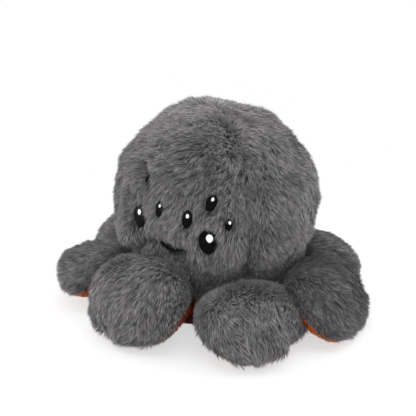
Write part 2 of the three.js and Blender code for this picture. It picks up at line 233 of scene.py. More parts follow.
def srgb(red, green, blue):
    """A colour that is written in the 0 to 255 steps of a screen."""
    steps = [v / 255 for v in (red, green, blue)]
    return tuple(v / 12.92 if v <= 0.04045 else ((v + 0.055) / 1.055) ** 2.4 for v in steps) + (1.0,)


def add_sockets(tree, inputs, outputs):
    """Gives a tree its named inputs, with the values they start from, and its named outputs."""
    for name, kind, value in inputs:
        socket = tree.interface.new_socket(name=name, in_out="INPUT", socket_type="NodeSocket" + kind)
        if value is not None:
            socket.default_value = value
    for name, kind in outputs:
        tree.interface.new_socket(name=name, in_out="OUTPUT", socket_type="NodeSocket" + kind)


def make_grain_group():
    """A group that turns a place on the surface into uneven colour and a height for a bump."""
    group = bpy.data.node_groups.new("fibre_grain", "ShaderNodeTree")
    add_sockets(group, (("Dark", "Color", None), ("Light", "Color", None), ("Fibre Scale", "Float", 900.0),
                        ("Patch Scale", "Float", 60.0)), (("Color", "Color"), ("Height", "Float")))
    inside = put(group, "NodeGroupInput").outputs
    place = put(group, "ShaderNodeTexCoord").outputs["Object"]
    fibre = put(group, "ShaderNodeTexNoise",
                {"Vector": place, "Scale": inside["Fibre Scale"], "Detail": GRAIN_DETAIL}).outputs["Fac"]
    patch = put(group, "ShaderNodeTexNoise", {"Vector": place, "Scale": inside["Patch Scale"]}).outputs["Fac"]
    both = put(group, "ShaderNodeMath", {0: fibre, 1: patch}, operation="ADD")
    half = put(group, "ShaderNodeMath", {0: both.outputs[0], 1: 0.5}, operation="MULTIPLY")
    tint = put(group, "ShaderNodeMix", {"Factor": half.outputs[0], "A": inside["Dark"], "B": inside["Light"]},
               data_type="RGBA")
    put(group, "NodeGroupOutput", {"Color": tint.outputs["Result"], "Height": fibre})
    return group


FIBRE_GRAIN = make_grain_group()
print("shared group:", FIBRE_GRAIN.name)

# %% Pile, thread and stuffing
BAKE_MAP = "OFBake"
PILE_GLOSS, THREAD_GLOSS = 0.25, 0.06
SHEEN_SPREAD = 0.5
ROOT_RISE = (0.05, 0.8)
GRAIN_HEIGHT = 0.2 * MM


def pile_finish(name, root, dark_tip, light_tip, rough, sheen):
    """A pile with painted shade at the blades' roots, and tips that differ from tuft to tuft."""
    material, tree, shader = new_material(name)
    own_map = put(tree, "ShaderNodeUVMap", uv_map=BAKE_MAP)
    parts = put(tree, "ShaderNodeSeparateXYZ", {0: own_map.outputs["UV"]}).outputs
    tip = put(tree, "ShaderNodeMix", {"Factor": parts["X"], "A": dark_tip, "B": light_tip}, data_type="RGBA")
    rise = put(tree, "ShaderNodeMapRange",
               {"Value": parts["Y"], "From Min": ROOT_RISE[0], "From Max": ROOT_RISE[1]},
               interpolation_type="SMOOTHSTEP")
    blade = put(tree, "ShaderNodeMix",
                {"Factor": rise.outputs["Result"], "A": root, "B": tip.outputs["Result"]}, data_type="RGBA")
    feed(tree, shader, {"Base Color": blade.outputs["Result"], "Roughness": rough,
                        "Specular IOR Level": PILE_GLOSS, "Sheen Weight": sheen,
                        "Sheen Roughness": SHEEN_SPREAD})
    return material


def grain_finish(name, dark, light, fibre_scale, rough, bump):
    """Thread or loose fibre, with the shared grain in its colour and its bump."""
    material, tree, shader = new_material(name)
    grain = put(tree, "ShaderNodeGroup", node_tree=FIBRE_GRAIN)
    feed(tree, grain, {"Dark": dark, "Light": light, "Fibre Scale": fibre_scale})
    ridges = put(tree, "ShaderNodeBump",
                 {"Height": grain.outputs["Height"], "Strength": bump, "Distance": GRAIN_HEIGHT})
    feed(tree, shader, {"Base Color": grain.outputs["Color"], "Roughness": rough,
                        "Specular IOR Level": THREAD_GLOSS, "Normal": ridges.outputs["Normal"]})
    return material


# The dark root colours, which the backing takes as well, are painted shade for the depth of the pile.
GREY_FUR = pile_finish("grey_fur_pile", srgb(40, 38, 39), srgb(66, 64, 65), srgb(178, 175, 176), 0.75, 0.25)
ORANGE_PLUSH = pile_finish("orange_plush_pile", srgb(80, 16, 4), srgb(150, 46, 8), srgb(242, 126, 28),
                           0.8, 0.1)
BLACK_THREAD = grain_finish("black_satin", srgb(4, 4, 4), srgb(12, 12, 13), 700.0, 0.6, 0.3)
WHITE_THREAD = grain_finish("white_satin", srgb(251, 251, 250), srgb(255, 255, 255), 700.0, 0.55, 0.15)
FIBREFILL = grain_finish("loose_fibre", srgb(214, 212, 206), srgb(238, 236, 231), 350.0, 0.95, 0.8)
print("finishes:", [m.name for m in (GREY_FUR, ORANGE_PLUSH, BLACK_THREAD, WHITE_THREAD, FIBREFILL)])

# %% [markdown]
# ## Cloth as grids
# A sewn skin is a flat panel bent into shape, so each skin starts as a grid of points: rows along the nap
# and columns across it. A grid keeps the way the nap lies, which the fur needs later. The helpers here give
# a grid its normals, turn it into a closed cloth with an inner face, and lay the pile's own UV map on the
# backing.

# %% Grid helpers
CLOTH_DEPTH = 1.5 * MM
# The backing reads the painted shade of the root colour from this patch of the map.
BACKING_PATCH = ((0.46, 0.005), (0.54, 0.005), (0.54, 0.035), (0.46, 0.035))
NOISE_STEP = 17.3
TINY = 1e-12


def unit(vectors):
    """Vectors of length one."""
    return vectors / np.maximum(np.linalg.norm(vectors, axis=-1, keepdims=True), TINY)


def round_axis(radius, around, height):
    """Points round the toy's upright axis, with the angle counted from the face towards +X."""
    return np.stack(np.broadcast_arrays(radius * np.sin(around), -radius * np.cos(around), height), axis=-1)


def grid_normals(grid):
    """Outward normals, for rows along the nap and columns to the right of it, seen from outside."""
    along = np.gradient(grid, axis=0)
    across = np.gradient(grid, axis=1)
    return unit(np.cross(along, across))


def grid_faces(rows, columns, first=0, flip=False):
    """The quads of a grid whose points are numbered row by row."""
    number = first + np.arange(rows * columns).reshape(rows, columns)
    corners = [number[:-1, :-1], number[1:, :-1], number[1:, 1:], number[:-1, 1:]]
    quads = np.stack(corners, axis=-1).reshape(-1, 4)
    return quads[:, ::-1] if flip else quads


def rim_faces(rows, columns):
    """The quads that close the edge between an outer grid and the inner grid numbered after it."""
    number = np.arange(rows * columns).reshape(rows, columns)
    ring = np.concatenate([number[0, :], number[1:, -1], number[-1, -2::-1], number[-2:0:-1, 0]])
    onward = np.roll(ring, -1)
    inner = rows * columns
    return np.stack([ring, onward, onward + inner, ring + inner], axis=-1)


def write_values(mesh, name, kind, domain, values):
    """Stores one value for each point or face of a mesh."""
    layer = mesh.attributes.new(name, kind, domain)
    field = "vector" if kind == "FLOAT_VECTOR" else "value"
    layer.data.foreach_set(field, np.ascontiguousarray(values).ravel())


def carry(mesh, values):
    """Stores numbers or vectors on the points of a mesh."""
    for name, rows in values.items():
        rows = np.asarray(rows, np.float32)
        write_values(mesh, name, "FLOAT_VECTOR" if rows.ndim > 1 else "FLOAT", "POINT", rows)


def smooth(mesh):
    """Shades a mesh's faces smooth."""
    mesh.polygons.foreach_set("use_smooth", np.ones(len(mesh.polygons), bool))


def cloth_from_grid(name, grid, comb, cover, pile, material, tone=0.0):
    """A closed cloth that carries the way, cover and length of its pile, and painted light and shade."""
    rows, columns = grid.shape[:2]
    count = rows * columns
    normals = grid_normals(grid)
    points = np.concatenate([grid.reshape(-1, 3), (grid - CLOTH_DEPTH * normals).reshape(-1, 3)])
    outer = grid_faces(rows, columns)
    faces = np.concatenate([outer, grid_faces(rows, columns, count, True), rim_faces(rows, columns)])
    mesh = bpy.data.meshes.new(name)
    mesh.from_pydata(points.tolist(), [], faces.tolist())
    shown = np.zeros(len(faces), bool)
    shown[:len(outer)] = True
    write_values(mesh, "shown", "BOOLEAN", "FACE", shown)
    layers = {"comb": comb.reshape(count, 3), "cover": cover.ravel(), "pile": pile.ravel(),
              "tone": np.broadcast_to(tone, grid.shape[:2]).ravel()}
    carry(mesh, {key: np.concatenate([values, values]) for key, values in layers.items()})
    backing = mesh.uv_layers.new(name=BAKE_MAP)
    patch = np.tile(BACKING_PATCH, (len(faces), 1))
    backing.data.foreach_set("uv", patch.astype(np.float32).ravel())
    smooth(mesh)
    mesh.materials.append(material)
    mesh.update()
    return show(name, mesh)


def rumple(points, height, size, seed):
    """How far uneven stuffing pushes each point out: smooth noise with bumps of the given size."""
    flat = points.reshape(-1, 3) / size + NOISE_STEP * seed
    lumps = [noise.noise(Vector(p)) for p in flat]
    return height * np.array(lumps).reshape(points.shape[:-1] + (1,))


print("a cloth is", CLOTH_DEPTH / MM, "mm deep")

# %% [markdown]
# ## Stuffing the skins
# Stuffing presses a skin outwards while its seams hold, and a cloth simulation does just that. Blowing the
# grid up by a formula would also swell it, but evenly. Here a copy of each skin is filled with air pressure
# for twenty frames with its seams pinned, and the way each point moved is added to the grid, up to a limit.

# %% The stuffing simulation
STUFFING_FRAMES = 20
STUFFED_CLOTH = {"mass": 0.0015, "tension_stiffness": 1.0, "compression_stiffness": 1.0,
                 "shear_stiffness": 0.5, "bending_stiffness": 0.2, "use_pressure": True,
                 "uniform_pressure_force": 4.0, "vertex_group_mass": "sewn"}


def swell(grid, held, wraps, limit):
    """Moves a grid as stuffing would, with some points held, by no more than a limit."""
    rows, columns = grid.shape[:2]
    quads = grid_faces(rows, columns)
    if wraps:
        number = np.arange(rows * columns).reshape(rows, columns)
        last = np.stack([number[:-1, -1], number[1:, -1], number[1:, 0], number[:-1, 0]], axis=-1)
        quads = np.concatenate([quads, last])
    mesh = bpy.data.meshes.new("trial_skin")
    mesh.from_pydata(grid.reshape(-1, 3).tolist(), [], quads.tolist())
    trial = show("trial_skin", mesh)
    pins = trial.vertex_groups.new(name="sewn")
    pins.add([int(i) for i in np.flatnonzero(held.ravel())], 1.0, "REPLACE")
    cloth = trial.modifiers.new("stuffing", "CLOTH")
    for key, value in STUFFED_CLOTH.items():
        setattr(cloth.settings, key, value)
    cloth.settings.effector_weights.gravity = 0
    cloth.point_cache.frame_start = 1
    cloth.point_cache.frame_end = STUFFING_FRAMES
    for step in range(1, STUFFING_FRAMES + 1):
        scene.frame_set(step)
    shaped = trial.evaluated_get(bpy.context.evaluated_depsgraph_get())
    after = np.empty(len(mesh.vertices) * 3, np.float32)
    shaped.data.vertices.foreach_get("co", after)
    bpy.data.objects.remove(trial)
    bpy.data.meshes.remove(mesh)
    scene.frame_set(1)
    moved = after.reshape(grid.shape) - grid
    far = np.linalg.norm(moved, axis=-1, keepdims=True)
    print("stuffing moved the skin by up to", round(float(far.max()) / MM, 1), "mm")
    return grid + moved * np.minimum(1.0, limit / np.maximum(far, TINY))


# %% [markdown]
# ## The head's skin
# The head is a ball of four gores, sewn from crown to neck. The seams pull the ball in, which shows as a
# soft valley to the right of the face. All four gores are one wrapped grid while they are stuffed, so they
# stay joined, and are parted afterwards. A few lumps where the stuffing bunches up give the crown its
# uneven outline, and the embroidery's threads pull folds into the left of the face.

# %% Shape the head
HEAD_RADIUS = 98.0 * MM
FUR_DEPTH = 4.6 * MM
SEAM_DIP = 6.0 * MM
SEAM_WIDTH = 11.0 * MM
SEAM_FADE = (math.radians(48.0), math.radians(75.0))
SEAM_NECK_PULL = 0.4
CREASE_LATITUDE = math.radians(-24.0)
NECK_RADIUS = 84.0 * MM
NECK_FOOT = 30.0 * MM
NECK_DRAW = 1.6
GORES = ("front", "right", "back", "left")
HALF_GORE = 45.0
GORE_COLUMNS = 48
GORE_ROWS = 72
NECK_ROWS = 5
FREE_ROWS = 8
CROWN_LATITUDE = math.radians(89.4)
SWELL_ROOM, HEAD_SWELL = 2.5 * MM, 6.0 * MM
HEAD_RUMPLES = (1.6 * MM, 34.0 * MM, 1)
HEAD_LUMPS = ((-55, 13, 18, 1.5), (-57, 27, 12, 5.0), (-62, 40, 14, 1.5), (-70, 66, 16, 5.5),
              (-160, 82, 13, 6.0), (92, 74, 15, -5.0), (122, 60, 11, 7.0), (101, 42, 13, -1.5),
              (110, 23, 17, 4.0), (92, -2, 12, -5.0), (-31, 0, 13, 3.0), (-25, -7, 9, 9.0),
              (14, 40, 22, 1.5), (24, -6, 20, 1.5), (-22, 24, 5, 2.5), (-33, 25, 6, 2.5), (60, -10, 11, 2.0))
FACE_FOLDS = ((-22, 32, -15.5, 23, 4.5, 8.0), (-31.5, 21, -27.5, 11, 4.5, 6.0),
              (-40, -20, -24, -14.5, 5.0, 12.0), (-24, -14.5, -12.6, -7.3, 4.5, 13.0),
              (-12.6, -7.3, -1.9, -4.3, 3.5, 9.0), (-1.9, -4.3, 3, -7.2, 3.0, 4.0),
              (46, 2, 46, -26, 4.0, 13.0), (77, -4, 74, -24, 5.0, 5.0))


def on_ball(longitude, latitude):
    """The direction from the head's middle, with longitude counted from the face towards +X."""
    return round_axis(np.cos(latitude), longitude, np.sin(latitude))


def degrees_from(way, longitude, latitude):
    """The angle between each direction and one place on the ball."""
    middle = on_ball(math.radians(longitude), math.radians(latitude))
    return np.degrees(np.arccos(np.clip(way @ middle, -1, 1)))


def head_lumps(way):
    """How far bunched stuffing stands out along each direction."""
    height = np.zeros(way.shape[:-1])
    for longitude, latitude, width, lift in HEAD_LUMPS:
        height += lift * MM * np.exp(-(degrees_from(way, longitude, latitude) / width) ** 2)
    return height[..., None]


def head_folds(way):
    """How far threads pull the skin in, along short valleys from one place to another."""
    depth = np.zeros(way.shape[:-1])
    for longitude, latitude, longitude_end, latitude_end, width, deep in FACE_FOLDS:
        start = on_ball(math.radians(longitude), math.radians(latitude))
        run = on_ball(math.radians(longitude_end), math.radians(latitude_end)) - start
        share = np.clip((way - start) @ run / (run @ run), 0, 1)
        apart = np.linalg.norm(way - start - share[..., None] * run, axis=-1) * HEAD_RADIUS
        depth = np.maximum(depth, deep * MM * np.exp(-(apart / (width * MM)) ** 2))
    return depth[..., None]


def head_grid():
    """The head's wrapped skin: crown to neck down the rows, and round to the right across them."""
    columns = len(GORES) * GORE_COLUMNS
    longitude = math.radians(-HALF_GORE) + np.arange(columns) * math.tau / columns
    latitude = np.linspace(CROWN_LATITUDE, CREASE_LATITUDE, GORE_ROWS)
    latitude, longitude = np.meshgrid(latitude, longitude, indexing="ij")
    from_seam = np.abs((np.degrees(longitude) + HALF_GORE + HALF_GORE) % (2 * HALF_GORE) - HALF_GORE)
    arc = HEAD_RADIUS * np.cos(latitude) * np.radians(from_seam)
    fade = np.clip((SEAM_FADE[1] - latitude) / (SEAM_FADE[1] - SEAM_FADE[0]), 0, 1)
    fade *= 1 + SEAM_NECK_PULL * np.clip(1 - latitude / SEAM_FADE[0], 0, 1)
    radius = HEAD_RADIUS - FUR_DEPTH - SEAM_DIP * fade * np.exp(-(arc / SEAM_WIDTH) ** 2)
    ball = HEAD_CENTRE + on_ball(longitude, latitude) * radius[..., None]
    down = np.linspace(0, 1, NECK_ROWS + 1)[1:, None]
    edge = ball[-1:]
    neck_height = edge[..., 2] + (NECK_FOOT - edge[..., 2]) * down
    edge_radius = np.hypot(edge[..., 0], edge[..., 1])
    neck_radius = edge_radius + (NECK_RADIUS - edge_radius) * np.minimum(1.0, NECK_DRAW * down)
    return np.concatenate([ball, round_axis(neck_radius, longitude[:1], neck_height)])


head_skin = head_grid()
held = np.zeros(head_skin.shape[:2], bool)
held[FREE_ROWS:, ::GORE_COLUMNS] = True
held[GORE_ROWS - 1:] = True
outward = unit(head_skin - HEAD_CENTRE)
outward[GORE_ROWS - 1:] = 0
head_skin = swell(head_skin - SWELL_ROOM * outward, held, True, HEAD_SWELL)
lumps = head_lumps(outward) - head_folds(outward) + rumple(head_skin, *HEAD_RUMPLES)
head_skin = head_skin + outward * lumps
print("head skin:", head_skin.shape[0], "rows of", head_skin.shape[1], "points")

# %% [markdown]
# ## Where the face goes
# The eight eyes and the smile are embroidered, so they sit on the skin, below the tips of the fur. The
# frame's own eye solids say where each one is. Two eyes on the left are narrowed by the folds they lie in,
# and one of them has moved with its fold. The skin is drawn in under each eye, as dense stitching does, and
# the fur leaves the stitching free.

# %% Find the eyes and draw the skin in
EYE_SIZES = {"large": (15.0, 21.0, 4.0), "inner": (8.5, 15.0, -6.0), "upper": (8.5, 14.0, -20.0),
             "outer": (7.0, 9.5, 0.0)}
EYE_DRAWS = {"large_left": 3.5, "inner_left": 3.2, "upper_left": 5.5, "outer_left": 6.5}
EYE_DRAW, EYE_DRAW_REACH = 2.4, 1.25
FAR_OFF = 99.0
EYE_SQUINTS = {"upper_left": (0.5, 0.75), "inner_left": (0.85, 0.95)}
EYE_SHIFTS = {"upper_left": (-7.5, 4.5)}
EYE_FUR_OVERLAPS = {"large_left": 0.05, "inner_left": 0.4, "upper_left": 0.45, "outer_left": 1.0}
FACE_LONGITUDE = math.radians(3.0)
FACE_ROLL = math.radians(11.6)
SMILE_LONGITUDE = math.radians(3.1)
SMILE_HALF_ANGLE = math.radians(6.2)
SMILE_LATITUDE = math.radians(-8.7)
SMILE_RISE = math.radians(2.2)
SMILE_WIDTH = 2.2 * MM
SMILE_STEPS = 61
SMILE_SHOWN = (17, 56)


def ball_frame(way):
    """The outward, right and up directions on the ball."""
    out = unit(np.asarray(way, float))
    right = unit(np.cross([0.0, 0.0, 1.0], out))
    return out, right, np.cross(out, right)


def find_eyes():
    """Each eye's place and its oval, from the frame's eye solids."""
    eyes = {}
    for pair, (width, height, lean) in EYE_SIZES.items():
        for side in ("right", "left"):
            low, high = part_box(f"eye_{pair}_{side}")
            name = f"{pair}_{side}"
            out, right, up = ball_frame((np.array(low) + np.array(high)) / 2 - HEAD_CENTRE)
            aside, higher = EYE_SHIFTS.get(name, (0.0, 0.0))
            out, right, up = ball_frame(HEAD_RADIUS * out + aside * MM * right + higher * MM * up)
            turn = math.radians(lean)
            across = math.cos(turn) * right + math.sin(turn) * up
            along = math.cos(turn) * up - math.sin(turn) * right
            squint = EYE_SQUINTS.get(name, (1.0, 1.0))
            eyes[name] = {"out": out, "across": across, "along": along,
                          "width": squint[0] * width * MM, "height": squint[1] * height * MM,
                          "draw": EYE_DRAWS.get(name, EYE_DRAW) * MM,
                          "overlap": EYE_FUR_OVERLAPS.get(name, 0.0)}
    return eyes


def oval_reach(points, eye):
    """How far each point is from an eye's middle: 1 on the oval's edge."""
    way = unit(points - HEAD_CENTRE)
    x = (way @ eye["across"]) * HEAD_RADIUS / (eye["width"] / 2)
    y = (way @ eye["along"]) * HEAD_RADIUS / (eye["height"] / 2)
    return np.where(way @ eye["out"] > 0, np.hypot(x, y), FAR_OFF)


def smile_path():
    """Directions from the head's middle along the smile, turned as the face is."""
    share = np.linspace(-1, 1, SMILE_STEPS)
    ways = on_ball(SMILE_LONGITUDE + share * SMILE_HALF_ANGLE, SMILE_LATITUDE + SMILE_RISE * share ** 2)
    turn = Matrix.Rotation(FACE_LONGITUDE, 3, "Z") @ Matrix.Rotation(-FACE_ROLL, 3, (0.0, -1.0, 0.0))
    return ways @ np.array(turn).T


EYES = find_eyes()
SMILE = smile_path()
for eye in EYES.values():
    draw = np.exp(-(oval_reach(head_skin, eye) / EYE_DRAW_REACH) ** 2)
    head_skin = head_skin - eye["draw"] * draw[..., None] * outward
print("eyes:", list(EYES))

# %% [markdown]
# ## Fur that grows from the skin
# Fur and plush together are about half a million fibres, far too many to place by hand. Geometry Nodes
# scatter points over the cloth, stand a bent blade on each one, and turn it by the cloth's comb direction
# with soft whorls and tighter tufts added by noise. Each blade is also twisted at random, so that no
# outline shows only thin edges. Blender's hair particles would look alike, but they aren't mesh and the
# export would drop them. Each blade keeps the shade of its tuft in its UV map.

# %% A blade of pile


def make_blade(name, profile):
    """A flat tapered blade along +Z that arches towards +X, from rows of height, rise and width."""
    points = []
    rows = []
    for height, rise, width in profile:
        sides = (-0.5, 0.5) if width > 0 else (0.0,)
        rows.append([len(points) + i for i in range(len(sides))])
        points += [(rise, side * width, height) for side in sides]
    faces = [(*lower, *reversed(upper)) for lower, upper in zip(rows, rows[1:])]
    mesh = bpy.data.meshes.new(name)
    mesh.from_pydata(points, [], faces)
    mapped = mesh.uv_layers.new(name=BAKE_MAP)
    for loop in mesh.loops:
        _, y, z = points[loop.vertex_index]
        mapped.data[loop.index].uv = (y + 0.5, z)
    smooth(mesh)
    blade = show(name, mesh)
    blade.hide_render = True
    return blade


FUR_BLADE = make_blade("fur_blade", ((0, 0, 1), (0.55, 0.13, 0.85), (1, 0.05, 0)))
PLUSH_BLADE = make_blade("plush_blade", ((0, 0, 1), (0.55, 0.08, 0.8), (1, 0.06, 0)))
print("blade faces:", len(FUR_BLADE.data.polygons), len(PLUSH_BLADE.data.polygons))

# %% The pile tree
BLADE_LENGTHS, BLADE_WIDTHS, BLADE_SHADES = (0.7, 1.12, 3), (0.7, 1.25, 4), (-0.75, 0.15, 5)
TWIST_SEED = 6
TUFT_DETAIL, TUFT_CONTRAST = 1.0, 1.4
SHADE_COLUMNS, BLADE_COLUMN = (0.9, 0.03), 0.04
BLADE_ROWS = (0.93, 0.05)


def vector_math(tree, operation, first, second=None, scale=None):
    """A vector sum, product or other operation."""
    node = put(tree, "ShaderNodeVectorMath", {0: first, 1: second, "Scale": scale}, operation=operation)
    return node.outputs["Value" if operation == "DOT_PRODUCT" else "Vector"]


def number_math(tree, operation, *values):
    """A sum, product or other operation on numbers."""
    return put(tree, "ShaderNodeMath", dict(enumerate(values)), operation=operation).outputs[0]


def named(tree, name, kind):
    """Reads a value that the cloth carries."""
    return put(tree, "GeometryNodeInputNamedAttribute", {"Name": name}, data_type=kind).outputs["Attribute"]


def noise_way(tree, place, scale, strength):
    """A noise vector round zero, and the noise's plain value."""
    texture = put(tree, "ShaderNodeTexNoise", {"Vector": place, "Scale": scale, "Detail": TUFT_DETAIL})
    shift = vector_math(tree, "SUBTRACT", texture.outputs["Color"], (0.5, 0.5, 0.5))
    return vector_math(tree, "SCALE", shift, scale=strength), texture.outputs["Fac"]


def spread(tree, low, high, seed):
    """A random number for each blade."""
    return put(tree, "FunctionNodeRandomValue", {2: low, 3: high, "Seed": seed}, data_type="FLOAT").outputs[1]


def pass_out(tree, geometry, finish):
    """Gives the geometry its finish and passes it out of the tree."""
    painted = put(tree, "GeometryNodeSetMaterial", {"Geometry": geometry, "Material": finish})
    put(tree, "NodeGroupOutput", {"Geometry": painted.outputs[0]})


def make_pile_tree():
    """Blades scattered over the shown faces of a cloth, combed, tufted, shaded and joined to it."""
    tree = bpy.data.node_groups.new("grow_pile", "GeometryNodeTree")
    add_sockets(tree, (("Geometry", "Geometry", None), ("Blade", "Object", None),
                       ("Finish", "Material", None), ("Density", "Float", 1e6), ("Length", "Float", 0.009),
                       ("Width", "Float", 0.0009), ("Lift", "Float", 0.45), ("Whorl", "Float", 0.8),
                       ("Whorl Scale", "Float", 22.0), ("Tuft", "Float", 0.9),
                       ("Tuft Scale", "Float", 130.0), ("Streak", "Float", 0.7), ("Twist", "Float", 0.9),
                       ("Seed", "Int", 1)), (("Geometry", "Geometry"),))
    inside = put(tree, "NodeGroupInput").outputs
    cover = number_math(tree, "MULTIPLY", inside["Density"], named(tree, "cover", "FLOAT"))
    scatter = put(tree, "GeometryNodeDistributePointsOnFaces",
                  {"Mesh": inside["Geometry"], "Selection": named(tree, "shown", "BOOLEAN"), "Density": cover,
                   "Seed": inside["Seed"]}, distribute_method="RANDOM").outputs

    place = put(tree, "GeometryNodeInputPosition").outputs[0]
    comb = named(tree, "comb", "FLOAT_VECTOR")
    along = vector_math(tree, "DOT_PRODUCT", place, comb)
    back = vector_math(tree, "SCALE", comb, scale=number_math(tree, "MULTIPLY", along, inside["Streak"]))
    streaked = vector_math(tree, "SUBTRACT", place, back)
    whorl, _ = noise_way(tree, place, inside["Whorl Scale"], inside["Whorl"])
    tuft, tuft_value = noise_way(tree, streaked, inside["Tuft Scale"], inside["Tuft"])
    raised = vector_math(tree, "SCALE", scatter["Normal"], scale=inside["Lift"])
    way = vector_math(tree, "ADD", comb, whorl)
    way = vector_math(tree, "ADD", way, vector_math(tree, "ADD", tuft, raised))
    chance = put(tree, "FunctionNodeRandomValue", {0: (-1, -1, -1), "Seed": TWIST_SEED},
                 data_type="FLOAT_VECTOR")
    twist = vector_math(tree, "SCALE", chance.outputs[0], scale=inside["Twist"])
    facing = vector_math(tree, "ADD", scatter["Normal"], twist)
    turn = put(tree, "FunctionNodeAxesToRotation", {"Primary Axis": way, "Secondary Axis": facing},
               primary_axis="Z", secondary_axis="X")

    long = number_math(tree, "MULTIPLY", inside["Length"], named(tree, "pile", "FLOAT"))
    long = number_math(tree, "MULTIPLY", long, spread(tree, *BLADE_LENGTHS))
    wide = number_math(tree, "MULTIPLY", inside["Width"], spread(tree, *BLADE_WIDTHS))
    size = put(tree, "ShaderNodeCombineXYZ", {"X": long, "Y": wide, "Z": long})
    shade = number_math(tree, "MULTIPLY", tuft_value, TUFT_CONTRAST)
    shade = number_math(tree, "ADD", shade, spread(tree, *BLADE_SHADES))
    # Each blade's tuft shade gets the cloth's painted light and shade on top.
    shade = number_math(tree, "ADD", shade, named(tree, "tone", "FLOAT"))
    shaded = put(tree, "GeometryNodeStoreNamedAttribute", data_type="FLOAT", domain="POINT")
    feed(tree, shaded, {"Geometry": scatter["Points"], "Name": "shade", "Value": shade})

    blade = put(tree, "GeometryNodeObjectInfo", {"Object": inside["Blade"]})
    stand = put(tree, "GeometryNodeInstanceOnPoints",
                {"Points": shaded.outputs[0], "Instance": blade.outputs["Geometry"],
                 "Rotation": turn.outputs[0], "Scale": size.outputs[0]})
    solid = put(tree, "GeometryNodeRealizeInstances", {0: stand.outputs[0]})
    old = put(tree, "ShaderNodeSeparateXYZ", {0: named(tree, BAKE_MAP, "FLOAT_VECTOR")}).outputs
    level = put(tree, "ShaderNodeClamp", {"Value": named(tree, "shade", "FLOAT")}).outputs[0]
    column = number_math(tree, "MULTIPLY_ADD", level, *SHADE_COLUMNS)
    column = number_math(tree, "ADD", column, number_math(tree, "MULTIPLY", old["X"], BLADE_COLUMN))
    # Painted light also lifts the dark root colour towards the tip colour.
    painted_root_light = put(tree, "ShaderNodeClamp", {"Value": named(tree, "tone", "FLOAT")}).outputs[0]
    row = number_math(tree, "MULTIPLY", old["Y"], number_math(tree, "SUBTRACT", 1.0, painted_root_light))
    row = number_math(tree, "MULTIPLY", number_math(tree, "ADD", row, painted_root_light), BLADE_ROWS[0])
    row = number_math(tree, "ADD", row, BLADE_ROWS[1])
    new = put(tree, "ShaderNodeCombineXYZ", {"X": column, "Y": row})
    mapped = put(tree, "GeometryNodeStoreNamedAttribute", data_type="FLOAT2", domain="CORNER")
    feed(tree, mapped, {"Geometry": solid.outputs[0], "Name": BAKE_MAP, "Value": new.outputs[0]})
    whole = put(tree, "GeometryNodeJoinGeometry", {0: [mapped.outputs[0], inside["Geometry"]]})
    pass_out(tree, whole.outputs[0], inside["Finish"])
    return tree


PILE_TREE = make_pile_tree()
print("pile tree nodes:", len(PILE_TREE.nodes))

# %% Grow a piece
GROWN_VALUES = ("shown", "comb", "cover", "pile", "tone", "shade", "stitch_way", "stitch_up", "stitch_length",
                "stitch_arch")
GREY_PILE = {"Blade": FUR_BLADE, "Finish": GREY_FUR, "Density": 2.6e6, "Length": 9.5 * MM, "Width": 0.5 * MM,
             "Lift": 0.52, "Whorl": 2.2, "Whorl Scale": 42.0, "Tuft": 1.7, "Tuft Scale": 280.0, "Streak": 0.5,
             "Twist": 0.9}
ORANGE_PILE = {"Blade": PLUSH_BLADE, "Finish": ORANGE_PLUSH, "Density": 0.9e6, "Length": 3.0 * MM,
               "Width": 1.1 * MM, "Lift": 0.7, "Whorl": 0.8, "Whorl Scale": 40.0, "Tuft": 0.8,
               "Tuft Scale": 300.0, "Streak": 0.3, "Twist": 0.5}


def grow(base, tree, values, name):
    """Runs a tree on a base object and keeps the result as a plain mesh in place of the base."""
    modifier = base.modifiers.new("grow", "NODES")
    modifier.node_group = tree
    for item in tree.interface.items_tree:
        if item.in_out == "INPUT" and item.name in values:
            modifier[item.identifier] = values[item.name]
    shaped = base.evaluated_get(bpy.context.evaluated_depsgraph_get())
    mesh = bpy.data.meshes.new_from_object(shaped)
    base.modifiers.remove(modifier)
    bpy.data.objects.remove(base)
    for value in GROWN_VALUES:
        if value in mesh.attributes:
            mesh.attributes.remove(mesh.attributes[value])
    mesh.name = name
    return show(name, mesh)


def triangles(piece):
    """How many triangles a piece has."""
    return sum(len(p.vertices) - 2 for p in piece.data.polygons)


def grow_pile(cloth, pile, seed):
    """Grows a pile on a cloth."""
    name = cloth.name
    cloth.name = name + "_cloth"
    return grow(cloth, PILE_TREE, {**pile, "Seed": seed}, name)


def stand_for(node):
    """Hides the CAD solid that a piece stands for."""
    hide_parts(node)


# %% [markdown]
# ## Furring the head
# The nap runs down from the crown on every gore, as it does on a toy that is cut with the pile pointing
# down. Handling has brushed it to both sides of a parting up the right seam, where it stands up. The parting
# and the crown are lightened with painted light, a few patches have painted shade, and the low edge is
# shorter, with painted shade. Fibres stop short of the embroidery and lean over its edge, so the eyes look
# sunk in. The stitches that are pulled in deepest are almost covered.

# %% Grow the head's fur
PARTING_STAND = 0.5
# Painted light on the fur at the parting up the right seam.
PARTING_PAINTED_LIGHT = 0.55
PARTING_SHARPNESS = 6
# Painted light on the fur of the crown.
CROWN_PAINTED_LIGHT = 0.34
# Patches of painted shade on the head fur: longitude, latitude, width and how much darker.
PAINTED_SHADE_PATCHES = ((26, 30, 12, -0.25), (4, 30, 11, -0.15), (58, -2, 9, -0.2))
EDGE_ROWS, EDGE_SHADE_ROWS = (64, 70), (70, 72)
EDGE_LENGTH = 0.5
